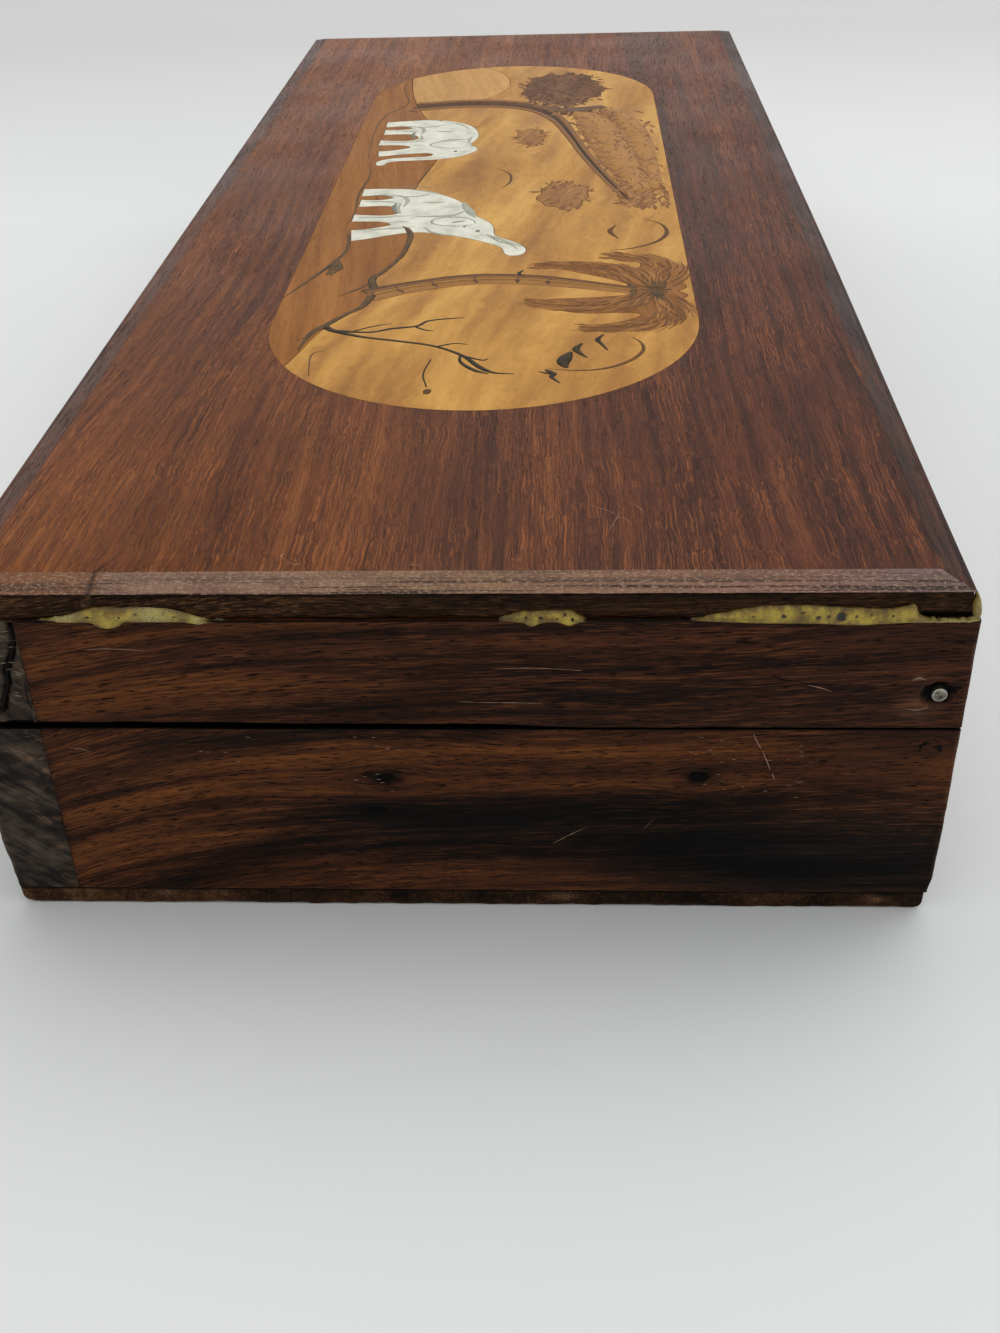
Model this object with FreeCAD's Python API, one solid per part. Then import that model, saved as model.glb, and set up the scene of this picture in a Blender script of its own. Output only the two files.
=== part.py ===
import FreeCAD, Part
import math
import os

# A rosewood trinket box with a hinged lid and a round-ended inlaid picture in the lid.
# Millimetres. The origin is the centre of the base's underside. +X runs along the box to
# its right end, +Y to the back with the hinges, +Z up.
# The box was glued up closed and sawn open, so the body and the lid frame have the same
# four boards. They meet as a pinwheel: each board covers the end of the next one.

V = FreeCAD.Vector

# Overall size
box_length = 258.0
box_width = 100.0

# Heights
base_thickness = 2.2
body_wall_height = 21.8
parting_gap = 0.3
lid_wall_height = 12.5
slab_thickness = 3.65

# Boards
long_board_thickness = 7.5
end_board_thickness = 7.0
base_side_inset = 0.8
base_edge_radius = 1.4

# Lid slab
slab_inset = 0.3
bevel_width = 2.9
bevel_height = 0.75

# Brads through the corners, with a shallow pit around each head
brad_radius = 0.75
brad_length = 18.0
brad_edge_distance = 2.8
brad_above_parting = 3.9
brad_below_parting = 2.4
brad_pit_radius = 1.15
brad_pit_depth = 0.4
plug_depth = 1.2
hole_clearance = 0.05

# Panel pins that hold the base panel
pin_radius = 0.6
pin_length = 12.0
pin_head_radius = 1.2
pin_head_thickness = 0.5
pin_head_depth = 0.2
pins_per_long_board = 4
pin_end_distance = 20.0

# Butt hinges
hinge_length = 25.0
hinge_end_distance = 45.0
leaf_thickness = 0.9
leaf_inner_margin = 1.1
knuckle_radius = 1.6
knuckle_count = 5
knuckle_gap = 0.15
knuckle_standoff = 0.3
hinge_pin_radius = 0.75
hinge_pin_head_radius = 1.2
hinge_pin_head_thickness = 0.5
hinge_running_clearance = 0.05
mortise_clearance = 0.1
screw_radius = 1.0
screw_length = 6.5
screw_head_radius = 1.8
screw_head_height = 0.8
screw_end_distance = 5.0

# Inlaid panel
panel_left_margin = 37.0
panel_right_margin = 40.0
panel_side_margin = 21.5
inlay_depth = 1.2
knife_kerf = 0.12
picture_drawn_length = 181.0
picture_drawn_width = 57.0

# Glue squeezed out of the seam under the slab, at the right end
glue_depth = 0.55

# Derived places
half_length = box_length / 2
half_width = box_width / 2
base_top = base_thickness
body_top = base_top + body_wall_height
lid_bottom = body_top + parting_gap
slab_bottom = lid_bottom + lid_wall_height
slab_top = slab_bottom + slab_thickness
inlay_floor = slab_top - inlay_depth
parting_middle = (body_top + lid_bottom) / 2
hinge_axis_y = half_width + knuckle_standoff + knuckle_radius
hinge_axis_z = parting_middle
leaf_depth = long_board_thickness - leaf_inner_margin
panel_length = box_length - panel_left_margin - panel_right_margin
panel_width = box_width - 2 * panel_side_margin
panel_centre_x = (panel_left_margin - panel_right_margin) / 2
picture_stretch_x = panel_length / picture_drawn_length
picture_stretch_y = panel_width / picture_drawn_width


def box(low, high):
    """A box between two corners."""
    size = V(*high) - V(*low)
    return Part.makeBox(size.x, size.y, size.z, V(*low))


def turned(shape):
    """The same shape at the opposite corner: half a turn about the box's middle."""
    copy = shape.copy()
    copy.rotate(V(0, 0, 0), V(0, 0, 1), 180)
    return copy


def rod(start, direction, radius, length):
    """A round rod from a point along a direction."""
    return Part.makeCylinder(radius, length, V(*start), V(*direction))


def cut_all(shape, tools):
    """The shape with every tool cut out of it, as separate solids in one compound."""
    return shape.cut(Part.makeCompound(tools)) if tools else shape


def save(shape, node):
    """One file for each sub-part, holding its solids only."""
    solids = shape.Solids
    whole = solids[0] if len(solids) == 1 else Part.makeCompound(solids)
    whole.exportStep("parts/" + node + ".step")
    print(node, len(solids), round(whole.Volume, 2), whole.isValid())


# Boards and brads

def front_board(low, high):
    """A long board that shows its end grain at the right end of the box."""
    return box(
        (-half_length + end_board_thickness, -half_width, low),
        (half_length, -half_width + long_board_thickness, high),
    )


def right_board(low, high):
    """An end board that butts against the front board and covers the back board's end."""
    return box(
        (half_length - end_board_thickness, -half_width + long_board_thickness, low),
        (half_length, half_width, high),
    )


def corner_rods(height, radius, length, start_depth):
    """One rod through each of the four corner joints, from start_depth under the face."""
    end_rod = rod(
        (half_length - start_depth, half_width - brad_edge_distance, height),
        (-1, 0, 0), radius, length,
    )
    front_rod = rod(
        (half_length - brad_edge_distance, -half_width + start_depth, height),
        (0, 1, 0), radius, length,
    )
    return [end_rod, front_rod, turned(end_rod), turned(front_rod)]


def pinwheel(prefix, low, high, holes):
    """The four boards of the body or of the lid frame, with the brad holes in them."""
    front = front_board(low, high)
    right = right_board(low, high)
    boards = {
        prefix[0] + "_front_" + prefix[1]: front,
        prefix[0] + "_right_end_" + prefix[1]: right,
        prefix[0] + "_back_" + prefix[1]: turned(front),
        prefix[0] + "_left_end_" + prefix[1]: turned(right),
    }
    return {name: cut_all(board, holes) for name, board in boards.items()}


# Base panel and its pins

def base_panel():
    """The thin bottom board, a little narrower than the box, with rounded lower edges."""
    panel = box(
        (-half_length, -half_width + base_side_inset, 0),
        (half_length, half_width - base_side_inset, base_thickness),
    )
    lower_long_edges = [
        edge for edge in panel.Edges
        if edge.BoundBox.ZMax < base_thickness / 2 and edge.BoundBox.XLength > box_width
    ]
    return panel.makeFillet(base_edge_radius, lower_long_edges)


def pin_places():
    """Where the panel pins go up: along the long boards, and once into each end board."""
    long_y = half_width - long_board_thickness / 2
    first_x = -half_length + end_board_thickness + pin_end_distance
    step = -2 * first_x / (pins_per_long_board - 1)
    long_x = [first_x + number * step for number in range(pins_per_long_board)]
    end_x = half_length - end_board_thickness / 2
    sides = [(x, y) for x in long_x for y in (-long_y, long_y)]
    return sides + [(-end_x, 0), (end_x, 0)]


def panel_pin(place, clearance):
    """A pin with a flat head, its head just below the base's underside."""
    x, y = place
    head = rod((x, y, pin_head_depth), (0, 0, 1), pin_head_radius + clearance, pin_head_thickness)
    shank = rod((x, y, pin_head_depth), (0, 0, 1), pin_radius + clearance, pin_length + clearance)
    return head.fuse(shank).removeSplitter()


def pin_hole(place):
    """The hole for a pin, open at the underside."""
    x, y = place
    mouth = rod((x, y, 0), (0, 0, 1), pin_head_radius + hole_clearance, pin_head_depth)
    return panel_pin(place, hole_clearance).fuse(mouth)


# Hinges

def knuckle_spans():
    """The start of each knuckle along the hinge and their common length."""
    length = (hinge_length - (knuckle_count - 1) * knuckle_gap) / knuckle_count
    starts = [number * (length + knuckle_gap) for number in range(knuckle_count)]
    return starts, length


def leaf_levels(lower):
    """The heights of a leaf's two faces: flush with the body's or the lid's parting face."""
    if lower:
        return body_top - leaf_thickness, body_top
    return lid_bottom, lid_bottom + leaf_thickness


def leaf(centre_x, lower):
    """A hinge leaf: a plate let into the board and every second knuckle on the barrel."""
    low, high = leaf_levels(lower)
    left_x = centre_x - hinge_length / 2
    plate = box(
        (left_x, half_width - leaf_depth, low),
        (left_x + hinge_length, half_width, high),
    )
    starts, length = knuckle_spans()
    mine = starts[0::2] if lower else starts[1::2]
    for start in mine:
        web = box(
            (left_x + start, half_width, low),
            (left_x + start + length, hinge_axis_y, high),
        )
        barrel = rod((left_x + start, hinge_axis_y, hinge_axis_z), (1, 0, 0), knuckle_radius, length)
        plate = plate.fuse([web, barrel])
    bore = rod(
        (left_x, hinge_axis_y, hinge_axis_z), (1, 0, 0),
        hinge_pin_radius + hinge_running_clearance, hinge_length,
    )
    return plate.removeSplitter().cut(bore)


def hinge_pin(centre_x):
    """The pin through all knuckles, with a flattened head past each end."""
    left_x = centre_x - hinge_length / 2
    shank = rod(
        (left_x - knuckle_gap, hinge_axis_y, hinge_axis_z), (1, 0, 0),
        hinge_pin_radius, hinge_length + 2 * knuckle_gap,
    )
    left_head = rod(
        (left_x - knuckle_gap, hinge_axis_y, hinge_axis_z), (-1, 0, 0),
        hinge_pin_head_radius, hinge_pin_head_thickness,
    )
    right_head = rod(
        (left_x + hinge_length + knuckle_gap, hinge_axis_y, hinge_axis_z), (1, 0, 0),
        hinge_pin_head_radius, hinge_pin_head_thickness,
    )
    return shank.fuse([left_head, right_head]).removeSplitter()


def mortise(centre_x, lower):
    """The shallow pocket in the board's parting face that holds a leaf."""
    half = hinge_length / 2 + mortise_clearance
    low, high = leaf_levels(lower)
    return box(
        (centre_x - half, half_width - leaf_depth - mortise_clearance, low),
        (centre_x + half, half_width, high),
    )


def screw(centre_x, side, lower, clearance):
    """A countersunk screw through a leaf: down into the body or up into the lid frame."""
    x = centre_x + side * (hinge_length / 2 - screw_end_distance)
    y = half_width - leaf_depth / 2
    z = body_top if lower else lid_bottom
    way = -1 if lower else 1
    head = Part.makeCone(
        screw_head_radius + clearance, screw_radius + clearance,
        screw_head_height, V(x, y, z), V(0, 0, way),
    )
    shank = rod((x, y, z), (0, 0, way), screw_radius + clearance, screw_length + clearance)
    return head.fuse(shank).removeSplitter()


def screw_pair(centre_x, lower, clearance):
    """Both screws of one leaf."""
    return [screw(centre_x, side, lower, clearance) for side in (-1, 1)]


# Lid slab

def slab_plate():
    """The lid's top board with a shallow mitred bevel all round."""
    x = half_length - slab_inset
    y = half_width - slab_inset
    shoulder = slab_top - bevel_height
    plate = box((-x, -y, slab_bottom), (x, y, shoulder))
    lower_rim = Part.makePolygon([
        V(-x, -y, shoulder), V(x, -y, shoulder), V(x, y, shoulder), V(-x, y, shoulder), V(-x, -y, shoulder),
    ])
    u = x - bevel_width
    v = y - bevel_width
    upper_rim = Part.makePolygon([
        V(-u, -v, slab_top), V(u, -v, slab_top), V(u, v, slab_top), V(-u, v, slab_top), V(-u, -v, slab_top),
    ])
    bevelled = Part.makeLoft([lower_rim, upper_rim], True, True)
    return plate.fuse(bevelled).removeSplitter()


# Inlay outlines. Every figure is a closed outline in the panel's own plane, seen from above
# with the front of the box at the bottom, measured from the panel's centre. It is a list of
# runs that go round anticlockwise: each run is a smooth curve through its points, and short
# straight lines join the runs.

def stadium(grow):
    """The panel's outline: straight long sides and half-round ends."""
    radius = panel_width / 2 + grow
    reach = (panel_length - panel_width) / 2
    middle = box(
        (panel_centre_x - reach, -radius, inlay_floor),
        (panel_centre_x + reach, radius, slab_top),
    )
    ends = [
        rod((panel_centre_x + side * reach, 0, inlay_floor), (0, 0, 1), radius, inlay_depth)
        for side in (-1, 1)
    ]
    return middle.fuse(ends).removeSplitter()


def grown(runs, grow):
    """The outline with each point moved outwards, away from the figure."""
    points = [point for run in runs for point in run]
    moved = []
    for number, (x, y) in enumerate(points):
        before = points[number - 1]
        after = points[(number + 1) % len(points)]
        along_x = after[0] - before[0]
        along_y = after[1] - before[1]
        size = math.hypot(along_x, along_y)
        moved.append((x + grow * along_y / size, y - grow * along_x / size))
    steps = iter(moved)
    return [[next(steps) for point in run] for run in runs]


def smooth_edge(points, height, closed):
    """A curve through the points at one height."""
    curve = Part.BSplineCurve()
    curve.interpolate(Points=[V(x, y, height) for x, y in points], PeriodicFlag=closed)
    return curve.toShape()


def figure(runs, grow):
    """A flat piece with the outline that the runs give, at its place in the lid."""
    moved = grown(in_panel(runs), grow)
    edges = []
    for number, run in enumerate(moved):
        edges.append(smooth_edge(run, inlay_floor, len(moved) == 1))
        following = moved[(number + 1) % len(moved)]
        if len(moved) > 1:
            edges.append(Part.makeLine(V(*run[-1], inlay_floor), V(*following[0], inlay_floor)))
    face = Part.Face(Part.Wire(edges))
    return face.extrude(V(0, 0, inlay_depth))


def in_panel(runs):
    """Outlines measured from the panel's centre, brought to their place in the lid."""
    return [
        [(panel_centre_x + picture_stretch_x * x, picture_stretch_y * y) for x, y in run]
        for run in runs
    ]


def placed(runs, scale, place):
    """A figure drawn at its own origin, brought to its size and place in the panel."""
    return [[(place[0] + scale * x, place[1] + scale * y) for x, y in run] for run in runs]


def stroke(spine, widths):
    """A line with a width of its own at each point: out along the right, back on the left."""
    right = []
    left = []
    for number, (x, y) in enumerate(spine):
        before = spine[max(number - 1, 0)]
        after = spine[min(number + 1, len(spine) - 1)]
        size = math.hypot(after[0] - before[0], after[1] - before[1])
        across_x = (after[1] - before[1]) / size * widths[number] / 2
        across_y = -(after[0] - before[0]) / size * widths[number] / 2
        right.append((x + across_x, y + across_y))
        left.append((x - across_x, y - across_y))
    return [right, left[::-1]]


def oval(centre, radii, lobes, depth, turn):
    """An ellipse, or the outline of a leafy mass where it has uneven rounded lobes."""
    lobes = round(lobes)
    slower = round(lobes * slow_lobe_share)
    count = max(lobes * points_per_lobe, oval_points)
    points = []
    for number in range(count):
        angle = 2 * math.pi * number / count
        swell = 1 + depth * (math.sin(lobes * angle + turn) + math.cos(slower * angle - turn))
        points.append((
            centre[0] + radii[0] * swell * math.cos(angle),
            centre[1] + radii[1] * swell * math.sin(angle),
        ))
    return [points]


oval_points = 12
points_per_lobe = 5
slow_lobe_share = 0.4

# The walking elephant, drawn 20 high with its feet on y = 0 and its tail at the left. The
# runs go from foot to foot, then up the chest, along the trunk and back over the head.
elephant_hind_legs = [(5.8, 0.0), (5.7, 1.2), (5.5, 3.0), (6.1, 4.9), (7.2, 5.7), (8.1, 4.7),
                      (8.4, 2.8), (8.3, 1.0), (8.2, 0.2)]
elephant_belly = [(12.2, 0.2), (12.1, 1.3), (11.9, 3.8), (12.5, 6.4), (14.2, 7.7), (16.4, 7.6),
                  (17.4, 6.0), (17.4, 3.6), (17.0, 1.2), (16.8, 0.0)]
elephant_fore_legs = [(20.6, 0.0), (20.6, 1.2), (20.7, 3.8), (21.4, 6.0), (22.6, 6.9), (23.8, 5.6),
                      (24.9, 3.2), (25.3, 1.6), (25.4, 0.5)]
elephant_raised_front = [
    (31.0, 1.2), (30.0, 3.8), (28.5, 6.8), (27.3, 9.8), (27.0, 12.4), (27.8, 15.0), (29.2, 18.4),
    (31.2, 21.6), (33.6, 24.6), (36.0, 26.5), (38.2, 26.9), (39.4, 27.7), (39.4, 29.2), (38.0, 30.2),
    (35.6, 30.1), (33.2, 28.7), (31.0, 26.5), (29.0, 25.0),
]
elephant_raised_back = [(26.4, 24.7), (23.4, 24.2), (20.4, 22.6), (17.4, 20.7), (14.0, 19.6), (10.4, 18.2),
                        (7.0, 15.8), (4.0, 12.6), (2.2, 8.8), (1.6, 4.8), (1.5, 1.6), (1.6, 0.0)]
elephant_lowered_front = [
    (29.2, 0.9), (28.9, 2.2), (28.0, 4.8), (27.4, 8.0), (27.2, 10.6), (28.0, 11.9), (29.2, 11.8),
    (30.1, 9.6), (30.4, 6.6), (31.0, 3.6), (32.4, 1.6), (34.6, 0.9), (35.9, 1.6), (35.5, 2.6),
    (34.1, 3.0), (33.0, 4.8), (32.6, 8.2), (32.3, 11.6), (31.4, 15.0), (29.9, 17.8),
]
elephant_level_back = [(27.6, 19.8), (25.5, 20.9), (23.4, 20.5), (21.5, 19.4), (18.6, 19.9), (14.4, 20.6),
                       (9.8, 20.0), (5.6, 18.2), (2.4, 15.0), (0.8, 11.4), (0.5, 7.6), (1.0, 4.0),
                       (1.5, 1.2), (1.6, 0.0)]
leading_elephant_scale = 0.92
leading_elephant_place = (-0.7, -23.0)
following_elephant_scale = 0.88
following_elephant_place = (-45.1, -23.6)

palm_trunk_spine = [(51.8, -16.6), (49.3, -12.4), (47.2, -7.6), (45.8, -2.7), (45.7, 2.1), (46.6, 7.7),
                    (48.2, 12.6), (49.8, 16.9), (51.0, 20.4)]
palm_trunk_widths = [5.2, 4.4, 4.2, 4.2, 4.0, 3.7, 3.3, 2.8, 2.4]
# Round the fronds from the left outer tip: both drooping fronds at the left, the throat over
# the trunk, both at the right, and the low tufts along the top
palm_frond_runs = [
    [(36.7, 17.1), (37.6, 19.6), (39.1, 21.3), (41.4, 21.7)],
    [(41.8, 21.0), (39.8, 17.3), (39.1, 12.2), (40.1, 6.4)],
    [(40.7, 6.4), (42.1, 10.5), (44.4, 14.3), (46.6, 17.6), (48.2, 19.3)],
    [(48.7, 19.6), (52.5, 19.6)],
    [(52.9, 19.1), (53.6, 15.3), (54.0, 9.8), (54.6, 5.4)],
    [(55.2, 5.4), (58.0, 9.4), (59.6, 14.3), (59.4, 18.8), (59.9, 20.8)],
    [(60.5, 21.0), (62.3, 19.2), (63.7, 15.7), (64.3, 12.7)],
    [(64.9, 12.7), (66.1, 17.8), (65.0, 23.0), (62.0, 26.2), (58.4, 27.4), (55.0, 26.8)],
    [(54.4, 26.8), (53.1, 27.5), (51.8, 26.5)],
    [(51.3, 26.5), (50.0, 27.5), (48.3, 27.0)],
    [(47.6, 26.9), (43.7, 27.5), (40.0, 26.2), (37.4, 23.0), (36.1, 17.3)],
]

tree_spine = [(-55.1, -19.5), (-57.1, -11.0), (-56.7, -3.0), (-53.1, 4.2), (-44.5, 8.8), (-32.5, 11.6),
              (-18.5, 14.2), (-4.5, 17.4), (9.5, 21.2)]
tree_widths = [6.0, 4.4, 4.0, 3.8, 2.8, 2.2, 1.7, 1.2, 0.6]
tree_crown_oval = ((-68.5, 10.2), (13.6, 8.0), 13, 0.05, 0.5)
foliage_ovals = [
    ((-38.5, 17.7), (12.0, 4.6), 11, 0.06, 0.8),
    ((-14.5, 21.4), (9.6, 3.8), 10, 0.06, 0.1),
    ((6.0, 10.4), (7.4, 4.0), 9, 0.06, 1.4),
    ((5.6, 22.4), (7.6, 3.0), 9, 0.06, 2.2),
    ((-31.0, 4.4), (6.0, 2.6), 8, 0.06, 0.4),
]
pale_mound_oval = ((-74.5, -13.0), (17.0, 12.0), 1, 0.0, 0.0)

ground_skyline = [(-96.5, -25.4), (-84.5, -22.6), (-68.5, -21.0), (-50.5, -17.6), (-36.5, -13.8),
                  (-20.5, -11.8), (-8.5, -13.2), (5.5, -14.6), (19.5, -13.6), (29.5, -12.8),
                  (37.5, -13.8), (44.4, -16.2), (50.0, -15.8), (55.5, -16.7), (60.8, -19.6),
                  (66.8, -22.0), (73.0, -23.4), (81.0, -26.6)]


def elephant(front, back, scale, place):
    """One walking elephant with the given chest and trunk, and the given head and back."""
    runs = [elephant_hind_legs, elephant_belly, elephant_fore_legs, front + back]
    return placed(runs, scale, place)


def ground_region(grow):
    """Everything below the skyline, reaching past the panel's front edge."""
    below = -panel_width
    drawn = in_panel([ground_skyline])[0]
    skyline = [(x, y + grow) for x, y in drawn]
    corners = [skyline[-1], (skyline[-1][0], below), (skyline[0][0], below), skyline[0]]
    under = Part.makePolygon([V(x, y, inlay_floor) for x, y in corners])
    face = Part.Face(Part.Wire([smooth_edge(skyline, inlay_floor, False)] + under.Edges))
    return face.extrude(V(0, 0, inlay_depth))


def foliage(grow):
    """The lighter clumps of leaves along the branch."""
    return Part.makeCompound([figure(oval(*clump), grow) for clump in foliage_ovals])


def outlined(runs):
    """A piece maker for one outline, to be called with how far to grow it."""
    return lambda grow: figure(runs, grow)


def inlay_pieces():
    """Each inlaid piece fills its outline less the pieces that lie in front of it."""
    inner = stadium(-knife_kerf)
    leading = elephant(
        elephant_raised_front, elephant_raised_back, leading_elephant_scale, leading_elephant_place)
    following = elephant(
        elephant_lowered_front, elephant_level_back, following_elephant_scale, following_elephant_place)
    layers = [
        ("inlay_leading_elephant", outlined(leading)),
        ("inlay_following_elephant", outlined(following)),
        ("inlay_ground", ground_region),
        ("inlay_palm_trunk", outlined(stroke(palm_trunk_spine, palm_trunk_widths))),
        ("inlay_palm_fronds", outlined(palm_frond_runs)),
        ("inlay_tree", outlined(stroke(tree_spine, tree_widths))),
        ("inlay_foliage", foliage),
        ("inlay_tree_crown", outlined(oval(*tree_crown_oval))),
        ("inlay_pale_mound", outlined(oval(*pale_mound_oval))),
    ]
    pieces = {}
    pockets = []
    for name, piece in layers:
        pieces[name] = cut_all(inner.common(piece(0)), pockets)
        pockets.append(piece(knife_kerf))
    pieces["inlay_sky"] = cut_all(inner, pockets)
    return pieces


# Glue beads: the line over the top of each, as (place along the edge, height over the seam).
# The front bead is measured from the front face, the middle one from the middle, the back
# one from the back face.
glue_front_line = [
    (5.4, 0.0), (9.0, 0.25), (12.0, 0.5), (14.0, 1.25), (17.0, 1.55), (21.5, 1.4), (25.0, 0.95),
    (26.4, 0.0),
]
glue_middle_line = [(4.6, 0.0), (6.2, 0.95), (8.6, 1.15), (11.2, 1.1), (13.0, 0.0)]
glue_back_line = [
    (-27.4, 0.0), (-24.0, 0.9), (-19.0, 1.6), (-14.0, 1.45), (-10.0, 1.15), (-6.6, 1.7), (-5.4, 1.0),
    (-4.4, 0.35), (-0.6, 0.3), (-0.3, 0.0),
]


def glue_bead(line, start_y):
    """A bead of dried glue that stands on the frame in front of the slab's end edge."""
    edge_x = half_length - slab_inset
    points = [V(edge_x, start_y + y, slab_bottom + z) for y, z in line]
    curve = Part.BSplineCurve()
    curve.interpolate(Points=points)
    face = Part.Face(Part.Wire([curve.toShape(), Part.makeLine(points[-1], points[0])]))
    return face.extrude(V(glue_depth, 0, 0))


def build():
    """Make every node and write its file."""
    os.makedirs("parts", exist_ok=True)
    body_brad_z = body_top - brad_below_parting
    lid_brad_z = lid_bottom + brad_above_parting
    hinge_places = {
        "left": -half_length + hinge_end_distance,
        "right": half_length - hinge_end_distance,
    }

    plug_holes = corner_rods(body_brad_z, brad_pit_radius + hole_clearance, plug_depth, 0)
    body_brad_holes = corner_rods(
        body_brad_z, brad_radius + hole_clearance, brad_length + hole_clearance, plug_depth)
    lid_pits = corner_rods(lid_brad_z, brad_pit_radius, brad_pit_depth, 0)
    lid_brad_holes = corner_rods(
        lid_brad_z, brad_radius + hole_clearance, brad_length + hole_clearance, 0)
    pin_holes = [pin_hole(place) for place in pin_places()]

    body_cuts = plug_holes + body_brad_holes + pin_holes
    lid_cuts = lid_pits + lid_brad_holes
    for centre_x in hinge_places.values():
        body_cuts += [mortise(centre_x, True)] + screw_pair(centre_x, True, hole_clearance)
        lid_cuts += [mortise(centre_x, False)] + screw_pair(centre_x, False, hole_clearance)

    for name, board in pinwheel(("body", "board"), base_top, body_top, body_cuts).items():
        save(board, name)
    for name, rail in pinwheel(("lid", "rail"), lid_bottom, slab_bottom, lid_cuts).items():
        save(rail, name)

    save(cut_all(base_panel(), pin_holes), "base_panel")
    save(Part.makeCompound([panel_pin(place, 0) for place in pin_places()]), "base_panel_pins")
    save(Part.makeCompound(corner_rods(body_brad_z, brad_radius, brad_length, plug_depth)),
         "body_corner_brads")
    save(Part.makeCompound(corner_rods(body_brad_z, brad_pit_radius, plug_depth, 0)),
         "body_brad_plugs")
    save(Part.makeCompound(corner_rods(lid_brad_z, brad_radius, brad_length, 0)),
         "lid_corner_brads")

    for side, centre_x in hinge_places.items():
        for lower, part_name in ((True, "body"), (False, "lid")):
            plate = cut_all(leaf(centre_x, lower), screw_pair(centre_x, lower, hole_clearance))
            save(plate, side + "_hinge_" + part_name + "_leaf")
            save(Part.makeCompound(screw_pair(centre_x, lower, 0)),
                 side + "_hinge_" + part_name + "_screws")
        save(hinge_pin(centre_x), side + "_hinge_pin")

    save(slab_plate().cut(stadium(0)), "lid_slab")
    for name, piece in inlay_pieces().items():
        save(piece, name)
    save(glue_bead(glue_front_line, -half_width), "glue_bead_front")
    save(glue_bead(glue_middle_line, 0), "glue_bead_middle")
    save(glue_bead(glue_back_line, half_width), "glue_bead_back_corner")


build()
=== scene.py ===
import itertools
import math

import bpy
import numpy as np
from mathutils import Matrix, Vector


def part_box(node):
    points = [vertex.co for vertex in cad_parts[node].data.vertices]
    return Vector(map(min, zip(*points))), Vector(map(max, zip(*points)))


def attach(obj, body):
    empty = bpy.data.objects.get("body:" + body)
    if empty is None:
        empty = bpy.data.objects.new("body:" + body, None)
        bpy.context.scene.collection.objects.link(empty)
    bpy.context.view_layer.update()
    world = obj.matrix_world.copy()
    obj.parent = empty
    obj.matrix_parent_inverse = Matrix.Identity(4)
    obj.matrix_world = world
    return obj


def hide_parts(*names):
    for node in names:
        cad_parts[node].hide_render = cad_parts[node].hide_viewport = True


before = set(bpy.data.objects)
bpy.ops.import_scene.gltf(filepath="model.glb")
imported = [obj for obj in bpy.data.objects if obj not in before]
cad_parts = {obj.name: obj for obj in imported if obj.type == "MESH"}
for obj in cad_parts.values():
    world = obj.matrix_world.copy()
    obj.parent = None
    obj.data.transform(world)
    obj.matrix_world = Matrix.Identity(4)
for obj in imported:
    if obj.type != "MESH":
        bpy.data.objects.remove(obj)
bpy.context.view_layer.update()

# Sizes are written in mm, in the frame's own axes: X along the box, Y to the back, Z up.
MM = 0.001
RNG = np.random.default_rng(7)


def mm_box(node):
    """The lowest and the highest corner of a CAD node, in mm."""
    low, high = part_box(node)
    return np.array(low) / MM, np.array(high) / MM


slab_low, slab_high = mm_box("lid_slab")
rail_low, rail_high = mm_box("lid_right_end_rail")
board_low, board_high = mm_box("body_right_end_board")
inlay_boxes = [mm_box(node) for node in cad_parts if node.startswith("inlay_")]
panel_low = np.min([low for low, _ in inlay_boxes], axis=0)
panel_high = np.max([high for _, high in inlay_boxes], axis=0)
end_x = rail_high[0]
seam_z = slab_low[2]
top_z = slab_high[2]
inlay_drop = 0.03
picture_z = top_z - inlay_drop
panel_middle_x = (panel_low[0] + panel_high[0]) / 2


# Noise and small helpers

def hashed(cells, seed):
    """A steady random number from 0 to 1 for each whole-number cell."""
    mixed = cells[..., 0] * 73856093 ^ cells[..., 1] * 19349663 ^ cells[..., 2] * 83492791
    mixed = (mixed ^ (seed * 2654435761)) & 0xFFFFFFFF
    mixed = ((mixed ^ (mixed >> 15)) * 2246822519) & 0xFFFFFFFF
    mixed = ((mixed ^ (mixed >> 13)) * 3266489917) & 0xFFFFFFFF
    return ((mixed ^ (mixed >> 16)) & 0xFFFF) / 65535.0


def noise(points, size, seed):
    """Smooth random values from -1 to 1, with about one swing in each size."""
    scaled = np.asarray(points, float) / np.asarray(size, float)
    cell = np.floor(scaled).astype(np.int64)
    part = scaled - cell
    part = part * part * (3 - 2 * part)
    total = 0
    for corner in itertools.product((0, 1), repeat=3):
        weight = np.prod(np.where(corner, part, 1 - part), axis=-1)
        total = total + weight * hashed(cell + np.array(corner), seed)
    return 2 * total - 1


def smoothstep(low, high, value):
    """0 below low, 1 above high, and smooth between them."""
    share = np.clip((value - low) / (high - low), 0, 1)
    return share * share * (3 - 2 * share)


def blobs(y, z, spots):
    """The sum of soft spots, each (y, z, half-width, half-height, strength)."""
    total = np.zeros_like(y)
    for spot_y, spot_z, wide, high, strength in spots:
        total += strength * np.exp(-((y - spot_y) / wide) ** 2 - ((z - spot_z) / high) ** 2)
    return total


def smooth_line(points, per_span=6):
    """A smooth curve through rows of numbers, with steps between each pair of rows."""
    rows = np.asarray(points, float)
    padded = np.vstack([2 * rows[0] - rows[1], rows, 2 * rows[-1] - rows[-2]])
    result = []
    for number in range(1, len(padded) - 2):
        before, start, end, after = padded[number - 1:number + 3]
        for step in range(per_span):
            t = step / per_span
            result.append(0.5 * (
                2 * start + (end - before) * t
                + (2 * before - 5 * start + 4 * end - after) * t ** 2
                + (3 * start - before - 3 * end + after) * t ** 3
            ))
    result.append(rows[-1])
    return np.array(result)


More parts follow.
